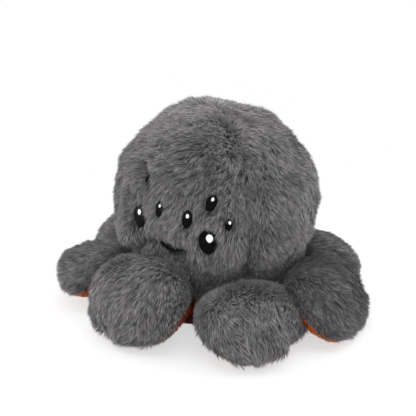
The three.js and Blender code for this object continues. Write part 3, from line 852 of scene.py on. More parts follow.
# Painted shade on the last rows of the head fur, under the head's overhang.
EDGE_PAINTED_SHADE = -0.5
CROWN_LEVELS = (0.64, 0.84)
NAP_LEVELS = (0.2, 0.6, 0.9)
NAP_TURNS = {"front": ((5, 12), (35, 55), (17, 75)), "right": ((-8, -15), (-20, 0), (-40, 17)),
             "back": ((0, 0), (0, -20), (17, -70)), "left": ((0, 5), (-20, 35), (-70, 17))}
CROWN_THICKNESS, CROWN_RAMP = 0.6, (0.3, 2.3)
FOLD_TRIM, FOLD_RAMP = 0.5, (5.0 * MM, 1.4)
SMILE_SKIP = 3
SMILE_BARE = 7.0 * MM
SMILE_TRIM, SMILE_TRIM_WIDTH = 0.65, 14.0 * MM
EYE_MARGIN, EYE_FRINGE = 1.08, 0.3
EYE_TRIM, EYE_TRIM_REACH = 0.45, 1.5
HEAD_SEED = 11


def ramp(values, limits):
    """None up to the first limit, and then rising to one at the second."""
    return np.clip((values - limits[0]) / (limits[1] - limits[0]), 0, 1)


def gore_columns(number):
    """The grid columns of one gore, seam to seam."""
    total = len(GORES) * GORE_COLUMNS
    return (np.arange(GORE_COLUMNS + 1) + number * GORE_COLUMNS) % total


def near_smile(points, width):
    """One on the smile's line, and none further off than a width."""
    way = unit(points - HEAD_CENTRE)
    shown = SMILE[SMILE_SHOWN[0]:SMILE_SHOWN[1]:SMILE_SKIP]
    nearest = np.min(np.linalg.norm(way[..., None, :] - shown, axis=-1), axis=-1) * HEAD_RADIUS
    return np.clip(1 - nearest / width, 0, 1)


def fur_cover(points):
    """Full cover of fur, thicker on the crown, and none where an eye or the smile is stitched."""
    cover = 1 - np.clip(2 * near_smile(points, SMILE_BARE), 0, 1)
    height = unit(points - HEAD_CENTRE)[..., 2]
    cover += CROWN_THICKNESS * np.clip(height / CROWN_RAMP[0] - CROWN_RAMP[1], 0, 1)
    for eye in EYES.values():
        clear = EYE_MARGIN - eye["overlap"]
        cover *= np.clip((oval_reach(points, eye) - clear) / EYE_FRINGE, 0, 1) if eye["overlap"] < 1 else 1
    return cover


def fur_length(points):
    """How long the fur is: shorter at the low edge, in the folds of the face and round the embroidery."""
    length = 1 - SMILE_TRIM * near_smile(points, SMILE_TRIM_WIDTH)
    for eye in EYES.values():
        near_eye = np.exp(-(oval_reach(points, eye) / EYE_TRIM_REACH) ** 4)
        length *= 1 - EYE_TRIM * (1 - eye["overlap"]) * near_eye
    folded = head_folds(unit(points - HEAD_CENTRE))[..., 0] / FOLD_RAMP[0] - FOLD_RAMP[1]
    length *= 1 - FOLD_TRIM * np.clip(folded, 0, 1)
    return length * (1 + (EDGE_LENGTH - 1) * ramp(np.arange(len(length)), EDGE_ROWS))[:, None]


def fur_painted_shading(points):
    """Painted light at the parting and the crown, and painted shade in patches and along the low edge."""
    height = np.linspace(1, 0, len(points))[:, None]
    tone = PARTING_PAINTED_LIGHT * height ** 2 * np.abs(np.linspace(-1, 1, points.shape[1])) ** PARTING_SHARPNESS
    tone = tone + CROWN_PAINTED_LIGHT * ramp(height, CROWN_LEVELS)
    tone = tone + EDGE_PAINTED_SHADE * ramp(np.arange(len(points)), EDGE_SHADE_ROWS)[:, None]
    way = unit(points - HEAD_CENTRE)
    for longitude, latitude, width, shade in PAINTED_SHADE_PATCHES:
        tone = tone + shade * np.exp(-(degrees_from(way, longitude, latitude) / width) ** 2)
    return tone


def nap(grid, gore):
    """The way the fur lies: down the gore, and brushed to both sides of a parting up the right seam."""
    down = unit(np.gradient(grid, axis=0))
    right = unit(np.gradient(grid, axis=1))
    share = np.linspace(-1, 1, grid.shape[1])
    height = np.linspace(1, 0, grid.shape[0])[:, None]
    low, middle, top = [np.interp(share, (-1, 1), pair) for pair in NAP_TURNS[gore]]
    rising = ramp(height, NAP_LEVELS[:2])
    turn = low + (middle - low) * rising
    turn = np.radians(turn + (top - turn) * ramp(height, NAP_LEVELS[1:]))
    standing = 1 - PARTING_STAND * rising * np.abs(share) ** PARTING_SHARPNESS
    return standing[..., None] * unit(np.cos(turn)[..., None] * down - np.sin(turn)[..., None] * right)


def fur_head():
    """One furred piece for each gore of the head."""
    for number, gore in enumerate(GORES):
        grid = head_skin[:, gore_columns(number)]
        cloth = cloth_from_grid(f"head_gore_{gore}_furred", grid, nap(grid, gore), fur_cover(grid),
                                fur_length(grid), GREY_FUR, fur_painted_shading(grid))
        piece = grow_pile(cloth, GREY_PILE, HEAD_SEED + number)
        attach(piece, "head")
        stand_for(f"head_gore_{gore}")
        print(piece.name, triangles(piece), "triangles")


fur_head()

# %% [markdown]
# ## The legs' skins
# Each leg is a flat-bottomed mitten: a furry top sewn to an orange sole along a seam that sinks towards the
# tip. One neutral leg is shaped and stuffed in its own directions (out, sideways and up), and eight copies
# are then placed by the frame's hinges. On the real toy no two legs are alike, so each copy is pulled a
# little longer, wider or higher.

# %% Shape and stuff one leg
LEG_ROOT = 86.5 * MM
LEG_WIDEST = 117.0 * MM
LEG_REACH = 152.0 * MM
LEG_HALF_WIDTHS = (33.5 * MM, 43.5 * MM)
LEG_TOPS = (48.0 * MM, 56.0 * MM)
SEAM_HEIGHTS = (24.0 * MM, 7.0 * MM)
LEG_ROUNDNESS = 2.3
LEG_ROWS = 30
LEG_HALF_COLUMNS = 30
WIDEST_ROW_SHARE = 0.36
TIP_TURN = math.radians(87.0)
SOLE_DEPTH = 1.9 * MM
SIDE_FUR_SHARE = 0.7
LEG_SWELL = 3.0 * MM
LEG_MIDDLE = np.array([LEG_WIDEST, 0.0, 0.4 * LEG_TOPS[1]])


def rounded(wave):
    """A sine or cosine bent towards a fuller, squarer curve."""
    return np.sign(wave) * np.abs(wave) ** (2 / LEG_ROUNDNESS)


def leg_grid():
    """The neutral leg's skin: root to tip down the rows, and over the top and the sole across them."""
    share = np.linspace(0, 1, LEG_ROWS)
    near = np.clip(share / WIDEST_ROW_SHARE, 0, 1)
    turn = np.clip((share - WIDEST_ROW_SHARE) / (1 - WIDEST_ROW_SHARE), 0, 1) * TIP_TURN
    reach = LEG_REACH - FUR_DEPTH
    out = LEG_ROOT + (LEG_WIDEST - LEG_ROOT) * near + (reach - LEG_WIDEST) * rounded(np.sin(turn))
    falloff = rounded(np.cos(turn))
    fullness = np.sin(near * math.pi / 2)
    seam = SEAM_HEIGHTS[0] + (SEAM_HEIGHTS[1] - SEAM_HEIGHTS[0]) * (out - LEG_ROOT) / (reach - LEG_ROOT)
    widening = (LEG_HALF_WIDTHS[1] - LEG_HALF_WIDTHS[0]) * fullness
    half_width = falloff * (LEG_HALF_WIDTHS[0] + widening - SIDE_FUR_SHARE * FUR_DEPTH)
    above = falloff * (LEG_TOPS[0] + (LEG_TOPS[1] - LEG_TOPS[0]) * fullness - FUR_DEPTH - seam)
    below = falloff * (seam - SOLE_DEPTH)
    around = np.arange(2 * LEG_HALF_COLUMNS) * math.pi / LEG_HALF_COLUMNS
    side = -half_width[:, None] * rounded(np.cos(around))
    rise = rounded(np.sin(around))
    height = seam[:, None] + np.where(rise > 0, above[:, None], below[:, None]) * rise
    return np.stack([np.broadcast_to(out[:, None], side.shape), side, height], axis=-1)


leg_skin = leg_grid()
leg_held = np.zeros(leg_skin.shape[:2], bool)
leg_held[:2] = True
leg_held[:, ::LEG_HALF_COLUMNS] = True
leg_skin = swell(leg_skin, leg_held, True, LEG_SWELL)
leg_skin[..., 2] = np.maximum(leg_skin[..., 2], SOLE_DEPTH)
print("leg skin:", leg_skin.shape[0], "rows of", leg_skin.shape[1], "points")

# %% Place the eight legs
LEG_TWEAKS = {
    1: {"longer": -9.5, "wider": 1, "root": 15, "taller": 6, "swayed": 7, "joined_right": 9,
        "bared_right": 15, "flared_right": 8, "flared_left": 10},
    2: {"wider": -16, "squared": 14, "squared_left": 5, "root": 2, "taller": -6, "swayed": -6,
        "joined_left": 11, "joined_right": 10, "bared_right": -5, "flared_right": 17, "pinched_right": 11},
    3: {"longer": 2, "wider": -1, "squared": 4, "squared_left": 5, "slumped": 17, "root": 4, "taller": -5,
        "swayed": -13, "joined_left": 15, "bared_left": 15, "flared_left": 16},
    4: {"longer": -2, "root": 6, "taller": -17},
    5: {"longer": 1, "wider": -1, "squared": 4, "root": 6, "taller": 1, "swayed": -1, "bared_right": 3},
    6: {"longer": -2, "wider": 1, "root": 6, "lifted": 2, "swayed": 1, "bared_left": 3},
    7: {"root": 10, "taller": -2},
    8: {"longer": 1.5, "wider": -2, "root": 8, "taller": -16, "lifted": 14, "bared_right": 13}}
LEG_PULLS = ("longer", "wider", "squared", "squared_left", "slumped", "root", "taller", "lifted", "swayed",
             "joined_left", "joined_right", "bared_left", "bared_right", "flared_left", "flared_right",
             "pinched_right")
SKIN_ONLY_PULLS = ("root", "joined_left", "joined_right", "flared_left", "flared_right")
NEAR_ROOT = 256 / 27
PINCH_PLACE, PINCH_WIDTH = 0.66, 0.14
LEG_RUMPLES, LEG_RUMPLE_SEED = (2.2 * MM, 30.0 * MM), 3
RUMPLE_GROWTH = 3
hinges = {joint["child"]: joint for joint in frame["joints"]}


def leg_directions(number):
    """A leg's outward and sideways directions, from its hinge."""
    x, y, _ = hinges[f"leg_{number}"]["pos_m"]
    out = np.array([x, y, 0.0]) / math.hypot(x, y)
    return out, np.cross([0.0, 0.0, 1.0], out)


def placed_leg(number, local, left_out=()):
    """A leg's points in the toy's frame, with that leg's own pull and lumps."""
    pull = {name: 0.0 if name in left_out else LEG_TWEAKS[number].get(name, 0) * MM for name in LEG_PULLS}
    local = local.copy()
    share = np.clip((local[..., 0] - LEG_ROOT) / (LEG_REACH - LEG_ROOT), 0, 1)
    above = np.clip((local[..., 2] - SEAM_HEIGHTS[1]) / (LEG_TOPS[1] - SEAM_HEIGHTS[1]), 0, 1)
    off_floor = np.clip((local[..., 2] - SOLE_DEPTH) / SEAM_HEIGHTS[1], 0, 1)
    across = local[..., 1] / LEG_HALF_WIDTHS[1]
    left, right = np.clip(-across, 0, 1), np.clip(across, 0, 1)
    near_root = NEAR_ROOT * share * (1 - share) ** 3
    corner = pull["squared"] * across ** 2 + pull["squared_left"] * left ** 2
    local[..., 0] += pull["longer"] * share + (corner - pull["slumped"] * above) * share ** 2
    local[..., 1] *= 1 + pull["wider"] / LEG_HALF_WIDTHS[1] * share
    flare = pull["flared_right"] * right * near_root - pull["flared_left"] * left * 4 * share * (1 - share)
    pinch = pull["pinched_right"] * right ** 2 * np.exp(-((share - PINCH_PLACE) / PINCH_WIDTH) ** 2)
    local[..., 1] += pull["swayed"] * share ** 2 + flare * (1 - above) - pinch
    joined = pull["joined_right"] * right - pull["joined_left"] * left
    local[..., 1] += joined * (1 - share) ** 2 * off_floor
    raised = pull["root"] * (1 - share) + pull["taller"] * np.sqrt(share)
    local[..., 2] += raised * above + pull["lifted"] * share ** 2
    local[..., 2] += (pull["bared_left"] * left + pull["bared_right"] * right) * near_root * off_floor
    push = unit(local - LEG_MIDDLE) * rumple(local, *LEG_RUMPLES, LEG_RUMPLE_SEED + number)
    local += push * np.clip(RUMPLE_GROWTH * share, 0, 1)[..., None]
    local[..., 2] = np.maximum(local[..., 2], SOLE_DEPTH)
    out, side = leg_directions(number)
    return local[..., :1] * out + local[..., 1:2] * side + local[..., 2:] * np.array([0.0, 0.0, 1.0])


for leg in LEG_TWEAKS:
    right, back, _ = leg_directions(leg)[0]
    print("leg", leg, "points to", round(math.degrees(math.atan2(right, -back))), "degrees")

# %% [markdown]
# ## Furring the legs
# The nap runs from the crease to the tip and falls off to both sides, so the fibres hang over the seam and
# hide most of the orange sole. The first row is tucked under the head, and the fibres at the crease are
# short, with painted shade; just past it the fur has painted light, and whole legs are painted a little
# darker or lighter. The soles have painted shade near the band and in the notch between two front legs,
# and painted light towards the tips. A leg is sewn to the head along its root.

# %% Grow the legs' fur and soles
SIDE_FALL = 0.55
ROOT_SWEEP, ROOT_FLATNESS, ROOT_THICKNESS = -0.3, 0.5, 0.1
ROOT_FADES = (2.5, 3)
ROOT_TUCK = 8.0 * MM
# Painted light on the legs' fur just past the crease, where the head shades it; painted shade in the crease.
ROOT_PAINTED_LIGHTS = {1: 0.3, 2: 0.85, 3: 0.25}
# Painted light on one side of leg 1, fading to painted shade on the other.
SIDE_PAINTED_LIGHTS = {1: 0.2}
ROOT_PAINTED_LIGHT = 0.2
CREASE_PAINTED_SHADE = -0.6
CREASE_ROWS = (0.0, 0.07, 0.36)
# Painted shade on legs 3, 4 and 8 as a whole, and a little painted light on leg 1.
LEG_PAINTED_SHADING = {1: 0.05, 3: -0.4, 4: -0.3, 8: -0.1}
# Painted shade on the soles near the band and painted light towards their tips; deeper painted shade on leg
# 1's sole in the notch, towards the plush's dark red.
SOLE_PAINTED_SHADING, SOLE_SHADING_ROWS = (-0.6, 0.4), (0.1, 0.5)
NOTCH_PAINTED_SHADES, NOTCH_SHARE, NOTCH_EDGE = {1: -0.9}, 0.4, 1.5
EDGE_TRIM, BARE_EDGE_TRIM, ROOT_TRIM = 0.15, 0.7, 0.45
EDGE_SHARPNESS = 8
FULLY_BARED = 6
TOP_SEED, SOLE_SEED = 30, 50


def sew_on(piece):
    """Bakes a leg's cloth into the toy's frame."""
    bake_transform(piece)


def plush_cloth(name, grid, tone=0.0):
    """A cloth of orange plush, combed down its rows."""
    full = np.ones(grid.shape[:2])
    return cloth_from_grid(name, grid, unit(np.gradient(grid, axis=0)), full, full, ORANGE_PLUSH, tone)


def leg_cloths(number):
    """A leg's furred top and its orange sole."""
    skin = placed_leg(number, leg_skin)
    out, _ = leg_directions(number)
    top = skin[:, :LEG_HALF_COLUMNS + 1]
    top = np.concatenate([top[:1] - ROOT_TUCK * out, top])
    sole = np.concatenate([skin[:, LEG_HALF_COLUMNS:], skin[:, :1]], axis=1)
    around = np.linspace(0, math.pi, LEG_HALF_COLUMNS + 1)
    sides = np.cos(around)
    fall = -SIDE_FALL * sides * np.abs(sides)
    row = np.concatenate([[0.0], np.linspace(0, 1, LEG_ROWS)])[:, None]
    swept = ROOT_SWEEP * np.clip(1 - 2 * row, 0, 1) * np.sin(around)
    comb = unit(unit(np.gradient(top, axis=0)) + (fall + swept)[..., None] * unit(np.gradient(top, axis=1)))
    comb = comb * (1 + ROOT_FLATNESS * np.clip(1 - ROOT_FADES[0] * row, 0, 1))[..., None]
    thick = np.ones(top.shape[:2]) + ROOT_THICKNESS * np.clip(1 - ROOT_FADES[1] * row, 0, 1)
    bared = np.clip(sides, 0, 1) * LEG_TWEAKS[number].get("bared_left", 0)
    bared += np.clip(-sides, 0, 1) * LEG_TWEAKS[number].get("bared_right", 0)
    bared = np.clip(bared / FULLY_BARED, 0, 1) * NEAR_ROOT * row * (1 - row) ** 3
    length = 1 - np.abs(sides) ** EDGE_SHARPNESS * (EDGE_TRIM + (BARE_EDGE_TRIM - EDGE_TRIM) * bared)
    length *= np.interp(row, CREASE_ROWS[:2], (ROOT_TRIM, 1))
    crease_painted_shading = (CREASE_PAINTED_SHADE, ROOT_PAINTED_LIGHTS.get(number, ROOT_PAINTED_LIGHT), 0)
    tone = LEG_PAINTED_SHADING.get(number, 0.0) + np.interp(row, CREASE_ROWS, crease_painted_shading)
    tone = tone + SIDE_PAINTED_LIGHTS.get(number, 0.0) * sides
    sole_painted_shading = np.interp(np.linspace(0, 1, len(sole)), SOLE_SHADING_ROWS, SOLE_PAINTED_SHADING)[:, None]
    notch = np.clip(NOTCH_EDGE - np.linspace(0, NOTCH_EDGE, LEG_HALF_COLUMNS + 1) / NOTCH_SHARE, 0, 1)
    sole_painted_shading = sole_painted_shading + (NOTCH_PAINTED_SHADES.get(number, sole_painted_shading) - sole_painted_shading) * notch
    furred = cloth_from_grid(f"leg_{number}_furred", top, comb, thick, length, GREY_FUR, tone)
    soled = plush_cloth(f"leg_{number}_plush_sole", sole, sole_painted_shading)
    return grow_pile(furred, GREY_PILE, TOP_SEED + number), grow_pile(soled, ORANGE_PILE, SOLE_SEED + number)


def fur_legs():
    """Both cloths of all the legs."""
    for number in LEG_TWEAKS:
        top, sole = leg_cloths(number)
        sew_on(top)
        stand_for(f"leg_{number}_top")
        sew_on(sole)
        stand_for(f"leg_{number}_sole")
        print(top.name, triangles(top), "and", sole.name, triangles(sole), "triangles")


fur_legs()

# %% [markdown]
# ## The orange side
# The hollow under the head is the other toy's head, turned in: four orange gores with the seams of the grey
# ones. A band joins them to the soles and carries the toy on the floor. Both are short plush, so they use
# the same pile tree with a shorter, wider blade. The stuffing presses the lining into the hollow, so it is
# swollen towards the middle.

# %% Line the hollow
HOLLOW_RADIUS = 58.0 * MM
HOLLOW_HALF_HEIGHT = 72.0 * MM
HOLLOW_CENTRE = 48.0 * MM
HOLLOW_LIP = 8.0 * MM
LINING_ROWS = 34
LINING_COLUMNS = 22
LINING_SEAM_DIP = 2.5 * MM
LINING_SEAM_WIDTH = 0.6 * SEAM_WIDTH
LINING_SWELL = 2.0 * MM
LINING_SEED = 70
PLUSH_DEPTH = 1.7 * MM


def lining_grid():
    """The wrapped grid of the lining: crown to lip down the rows, its faces turned to the hollow."""
    columns = len(GORES) * LINING_COLUMNS
    longitude = math.radians(HALF_GORE) - np.arange(columns) * math.tau / columns
    lowest = math.asin((HOLLOW_LIP - HOLLOW_CENTRE) / HOLLOW_HALF_HEIGHT)
    latitude = np.linspace(CROWN_LATITUDE, lowest, LINING_ROWS)
    latitude, longitude = np.meshgrid(latitude, longitude, indexing="ij")
    from_seam = np.abs((np.degrees(longitude) + 2 * HALF_GORE) % (2 * HALF_GORE) - HALF_GORE)
    arc = HOLLOW_RADIUS * np.cos(latitude) * np.radians(from_seam)
    deeper = PLUSH_DEPTH + LINING_SEAM_DIP * np.exp(-(arc / LINING_SEAM_WIDTH) ** 2)
    return round_axis((HOLLOW_RADIUS + deeper) * np.cos(latitude), longitude,
                      HOLLOW_CENTRE + (HOLLOW_HALF_HEIGHT + deeper) * np.sin(latitude))


def line_hollow():
    """One plush piece for each gore of the lining."""
    lining = lining_grid()
    sewn = np.zeros(lining.shape[:2], bool)
    sewn[:, ::LINING_COLUMNS] = True
    sewn[[0, -1]] = True
    lining = swell(lining, sewn, True, LINING_SWELL)
    total = len(GORES) * LINING_COLUMNS
    for number, gore in enumerate(GORES):
        grid = lining[:, (np.arange(LINING_COLUMNS + 1) - number * LINING_COLUMNS) % total]
        piece = grow_pile(plush_cloth(f"lining_gore_{gore}_plush", grid), ORANGE_PILE, LINING_SEED + number)
        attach(piece, "head")
        stand_for(f"lining_gore_{gore}")


line_hollow()
print("lining gores:", len(GORES))

# %% Sew the band
BAND_COLUMNS = 160
BAND_PROFILE = ((47.6, 9.0), (47.9, 6.0), (50.0, 3.2), (55.0, 1.9), (60.0, 1.7), (66.0, 1.7), (72.0, 1.7),
                (78.0, 1.8), (83.0, 3.4), (85.6, 7.0), (86.3, 12.0), (86.4, 18.0), (86.4, 24.0),
                (86.4, 29.7))
GATHER_COUNT = 56
GATHER_DEPTH = 0.5 * MM
# Painted shade on the band's outer wall, behind the legs.
BAND_PAINTED_SHADE_RADII = (0.07, 0.08)
BAND_SEED = 80


def sew_band():
    """The plush band from the hollow's lip, under the rim and up behind the legs, with fine gathers."""
    profile = np.array(BAND_PROFILE) * MM
    around = math.radians(HALF_GORE) - np.linspace(0, math.tau, BAND_COLUMNS + 1)
    gather = 1 + GATHER_DEPTH / HOLLOW_RADIUS * np.sin(GATHER_COUNT * around)
    grid = round_axis(profile[:, :1] * gather, around, profile[:, 1:])
    tone = np.interp(profile[:, :1], BAND_PAINTED_SHADE_RADII, (0.0, SOLE_PAINTED_SHADING[0]))
    piece = grow_pile(plush_cloth("mouth_band_plush", grid, tone), ORANGE_PILE, BAND_SEED)
    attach(piece, "head")
    stand_for("mouth_band")
    print(piece.name, triangles(piece), "triangles")


sew_band()

# %% [markdown]
# ## Embroidery
# The eyes, their highlights and the smile are satin stitch: threads laid side by side over a padded shape.
# A smooth black dome would read as plastic, so every thread is a piece of its own. The tree stands one
# arched thread on each point of a row. The row carries the way and the length of its stitches, and the
# script works those out from the oval.

# %% A thread and the stitch tree
THREAD_PITCH = 0.5 * MM
THREAD_WIDTH = 1.15 * THREAD_PITCH
THREAD_STEPS, THREAD_SIDES = 8, 6
THREAD_TAPER = 0.75
THREAD_OVAL = (1.15, 0.45)
EYE_LEVEL = HEAD_RADIUS - EYE_DRAW * MM
STITCH_ARCH = 0.9 * MM


def pad_object(name, rings):
    """A closed pad from rings of points, the first at the bottom."""
    shape = bmesh.new()
    loops = [[shape.verts.new(p) for p in ring] for ring in rings]
    for lower, upper in zip(loops, loops[1:]):
        for i in range(len(lower)):
            j = (i + 1) % len(lower)
            shape.faces.new((lower[i], lower[j], upper[j], upper[i]))
    shape.faces.new(loops[0][::-1])
    shape.faces.new(loops[-1])
    bmesh.ops.recalc_face_normals(shape, faces=shape.faces)
    mesh = bpy.data.meshes.new(name)
    shape.to_mesh(mesh)
    shape.free()
    smooth(mesh)
    return show(name, mesh)


def make_thread():
    """A rounded thread along X, one unit long, wide and high, whose ends dip into the cloth."""
    rings = []
    for step in range(THREAD_STEPS + 1):
        x = step / THREAD_STEPS - 0.5
        arch = 1 - (2 * x) ** 2
        thick = 0.5 * (1 - THREAD_TAPER * abs(2 * x) ** 6)
        turns = [math.tau * side / THREAD_SIDES for side in range(THREAD_SIDES)]
        rings.append([(x, thick * math.cos(t) * THREAD_OVAL[0], arch + THREAD_OVAL[1] * thick * math.sin(t))
                      for t in turns])
    return pad_object("thread", rings)


def make_stitch_tree():
    """A thread on each point, turned and sized by what the point carries, laid over its padding."""
    tree = bpy.data.node_groups.new("lay_stitches", "GeometryNodeTree")
    add_sockets(tree, (("Geometry", "Geometry", None), ("Thread", "Object", None),
                       ("Padding", "Object", None), ("Finish", "Material", None),
                       ("Thread Width", "Float", 0.0005)), (("Geometry", "Geometry"),))
    inside = put(tree, "NodeGroupInput").outputs
    way, up = [named(tree, name, "FLOAT_VECTOR") for name in ("stitch_way", "stitch_up")]
    turn = put(tree, "FunctionNodeAxesToRotation", {"Primary Axis": way, "Secondary Axis": up},
               primary_axis="X", secondary_axis="Z")
    long, arch = [named(tree, name, "FLOAT") for name in ("stitch_length", "stitch_arch")]
    size = put(tree, "ShaderNodeCombineXYZ", {"X": long, "Y": inside["Thread Width"], "Z": arch})
    thread = put(tree, "GeometryNodeObjectInfo", {"Object": inside["Thread"]})
    lay = put(tree, "GeometryNodeInstanceOnPoints",
              {"Points": inside["Geometry"], "Instance": thread.outputs["Geometry"],
               "Rotation": turn.outputs[0], "Scale": size.outputs[0]})
    padding = put(tree, "GeometryNodeObjectInfo", {"Object": inside["Padding"]})
    whole = put(tree, "GeometryNodeJoinGeometry", {0: [lay.outputs[0], padding.outputs["Geometry"]]})
    solid = put(tree, "GeometryNodeRealizeInstances", {0: whole.outputs[0]})
    pass_out(tree, solid.outputs[0], inside["Finish"])
    return tree


THREAD = make_thread()
STITCH_TREE = make_stitch_tree()
print("stitch tree nodes:", len(STITCH_TREE.nodes))

# %% Stitch the eyes and the highlights
HIGHLIGHT_SHARES = {"large": 0.38, "inner": 0.32, "upper": 0.28, "outer": 0.32, "large_left": 0.27,
                    "upper_left": 0.2}
HIGHLIGHT_TALL, HIGHLIGHT_ARCH = 1.2, 0.45
HIGHLIGHT_RAISE, HIGHLIGHT_SINK = 0.55, 0.6
FEWEST_STITCHES = 6
STITCH_SINK = 1.15
STITCH_UNEVEN, STITCH_WAVE = 0.03, 2.4
EDGE_ARCH, MIDDLE_ARCH = 0.35, 0.8
PAD_SIDES = 36
PAD_PROFILE = ((1.0, -4.2), (1.0, -1.6), (0.97, -1.1), (0.88, -0.75), (0.7, -0.42), (0.4, -0.2),
               (0.12, -0.12))


def stitch_row(name, places, ways, ups, lengths, arches, padding, finish):
    """One embroidered patch from a row of stitches and its padding."""
    mesh = bpy.data.meshes.new(name)
    mesh.from_pydata(np.asarray(places).tolist(), [], [])
    carry(mesh, {"stitch_way": ways, "stitch_up": ups, "stitch_length": lengths, "stitch_arch": arches})
    values = {"Thread": THREAD, "Padding": padding, "Finish": finish, "Thread Width": THREAD_WIDTH}
    piece = grow(show(name + "_row", mesh), STITCH_TREE, values, name)
    bpy.data.objects.remove(padding)
    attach(piece, "head")
    return piece


def satin_oval(name, oval, level, arch, finish):
    """A satin-stitched oval on the ball, with its padding."""
    half_width, half_height = oval["width"] / 2, oval["height"] / 2

    def at(x, y, height):
        way = unit(oval["out"] * level + oval["across"] * x + oval["along"] * y)
        return HEAD_CENTRE + way * (level + height)

    turns = np.arange(PAD_SIDES) * math.tau / PAD_SIDES
    rings = []
    for scale, height in PAD_PROFILE:
        aside, beyond = scale * half_width, scale * half_height
        lift = height * MM * arch / STITCH_ARCH
        rings.append([at(aside * math.cos(t), beyond * math.sin(t), lift) for t in turns])
    count = max(FEWEST_STITCHES, round(oval["height"] / THREAD_PITCH))
    shares = (np.arange(count) + 0.5) / count * 2 - 1
    wide = np.sqrt(1 - shares ** 2)
    places = [at(0, y * half_height, -STITCH_SINK * arch) for y in shares]
    uneven = 1.0 + STITCH_UNEVEN * np.sin(np.arange(count) * STITCH_WAVE)
    lengths = 2 * half_width * wide * uneven
    arches = arch * (EDGE_ARCH + MIDDLE_ARCH * wide)
    return stitch_row(name, places, [oval["across"]] * count, [oval["out"]] * count, lengths, arches,
                      pad_object(name + "_pad", rings), finish)


def stitch_eyes():
    """The eight eyes and the white highlight in each."""
    for name, eye in EYES.items():
        level = EYE_LEVEL - (eye["draw"] - EYE_DRAW * MM)
        patch = satin_oval(f"eye_{name}_satin", eye, level, STITCH_ARCH, BLACK_THREAD)
        stand_for(f"eye_{name}")
        low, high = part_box(f"highlight_{name}")
        out, _, _ = ball_frame((np.array(low) + np.array(high)) / 2 - HEAD_CENTRE)
        share = HIGHLIGHT_SHARES.get(name, HIGHLIGHT_SHARES[name.split("_")[0]])
        round_patch = {**eye, "out": out, "width": share * eye["width"],
                       "height": HIGHLIGHT_TALL * share * eye["width"]}
        shine_level = level + (HIGHLIGHT_RAISE - HIGHLIGHT_SINK * eye["overlap"]) * MM
        shine_arch = HIGHLIGHT_ARCH * STITCH_ARCH
        shine = satin_oval(f"highlight_{name}_satin", round_patch, shine_level, shine_arch, WHITE_THREAD)
        stand_for(f"highlight_{name}")


stitch_eyes()
print("stitched", len(EYES), "eyes")

# %% Stitch the smile
SMILE_TAPER = 0.97
SMILE_RAISE = 0.2 * MM
SMILE_PAD_SHARE, SMILE_STITCH_SHARE = 0.28, 0.66
SMILE_PAD_TOP, SMILE_PAD_DEPTH, SMILE_ARCH = 0.5 * MM, 1.5 * MM, 0.7 * MM


def stitch_smile():
    """A thin line of stitches laid across the smile's path, over a narrow pad."""
    along = unit(np.gradient(SMILE, axis=0))
    across = unit(np.cross(SMILE, along))
    taper = np.sqrt(1 - np.linspace(-SMILE_TAPER, SMILE_TAPER, SMILE_STEPS) ** 6)
    level = HEAD_CENTRE + SMILE * (EYE_LEVEL + SMILE_RAISE)
    half = SMILE_PAD_SHARE * SMILE_WIDTH * taper[:, None]
    rings = []
    for way, aside in zip(SMILE, half * across):
        middle = HEAD_CENTRE + way * (EYE_LEVEL - SMILE_RAISE)
        top, bottom = middle + SMILE_PAD_TOP * way, middle - SMILE_PAD_DEPTH * way
        rings.append([middle + aside, top, middle - aside, bottom])
    piece = stitch_row("smile_satin", level, across, SMILE, SMILE_STITCH_SHARE * SMILE_WIDTH * taper,
                       np.full(SMILE_STEPS, SMILE_ARCH), pad_object("smile_pad", rings), BLACK_THREAD)
    stand_for("smile")


stitch_smile()
print("smile of", SMILE_STEPS, "stitches")

# %% [markdown]
# ## Stuffing
# Loose polyester fibre fills the head between the two skins, and every leg. It shows only if a seam is
# opened, but it gives the toy its weight, so it is modelled as soft lumps just inside the skins.

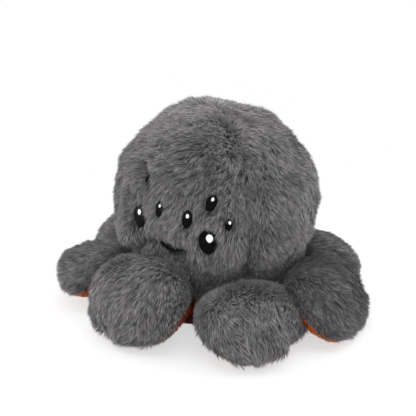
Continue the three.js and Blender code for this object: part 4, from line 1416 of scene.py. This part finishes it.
# %% Fill the head and the legs
FILL_INSET, FILL_TILT, FILL_STEP = 12.0 * MM, 0.35, 4
FILL_FOOT = ((80, 22), (78, 8), (66, 6), (57, 7))
FILL_LIP, FILL_LINING_GAP, FILL_WALL_ROWS = 14.0 * MM, 7.0 * MM, 12
FILL_LUMPINESS, FILL_RUMPLES = 0.6, (1.0 * MM, 20.0 * MM, 91)
FILL_FIRST_ROW, FILL_SHARE = 6, 0.82


def lumpy_fill(name, rings, body, node):
    """A closed lump of fibre from rings of points."""
    piece = pad_object(name, rings)
    piece.data.materials.append(FIBREFILL)
    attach(piece, body)
    stand_for(node)


def fill_head():
    """A bell of fibre between the head's skin, the band and the lining."""
    outer = head_skin[::FILL_STEP, ::FILL_STEP]
    outer = outer - FILL_INSET * unit(outer - np.array([0, 0, 1]) * outer[..., 2:] * FILL_TILT)
    around = np.arctan2(outer[0, :, 0], -outer[0, :, 1])
    foot = [round_axis(radius * MM, around, height * MM) for radius, height in FILL_FOOT]
    lowest = math.asin((FILL_LIP - HOLLOW_CENTRE) / HOLLOW_HALF_HEIGHT)
    wall = []
    for latitude in np.linspace(lowest, CROWN_LATITUDE, FILL_WALL_ROWS):
        height = HOLLOW_CENTRE + (HOLLOW_HALF_HEIGHT + FILL_LINING_GAP) * math.sin(latitude)
        wall.append(round_axis((HOLLOW_RADIUS + FILL_LINING_GAP) * math.cos(latitude), around, height))
    rings = [points + FILL_LUMPINESS * rumple(points, *FILL_RUMPLES) for points in (*outer, *foot, *wall)]
    lumpy_fill("head_fibrefill", rings, "head", "head_stuffing")


def fill_legs():
    """One lump of fibre for each leg, just inside its skin."""
    core = LEG_MIDDLE + (leg_skin[FILL_FIRST_ROW:, ::2] - LEG_MIDDLE) * FILL_SHARE
    for number in LEG_TWEAKS:
        rings = placed_leg(number, core, SKIN_ONLY_PULLS)
        lumpy_fill(f"leg_{number}_fibrefill", rings, f"leg_{number}", f"leg_{number}_stuffing")


fill_head()
fill_legs()
print("fibrefill pieces:", 1 + len(LEG_TWEAKS))

# %% [markdown]
# ## Tidying up
# The blades and the thread were only patterns to copy, so they go. The visual toy may stand a little proud
# of the CAD solids, as fur does.

# %% Tidy up
for pattern in (FUR_BLADE, PLUSH_BLADE, THREAD):
    bpy.data.objects.remove(pattern)
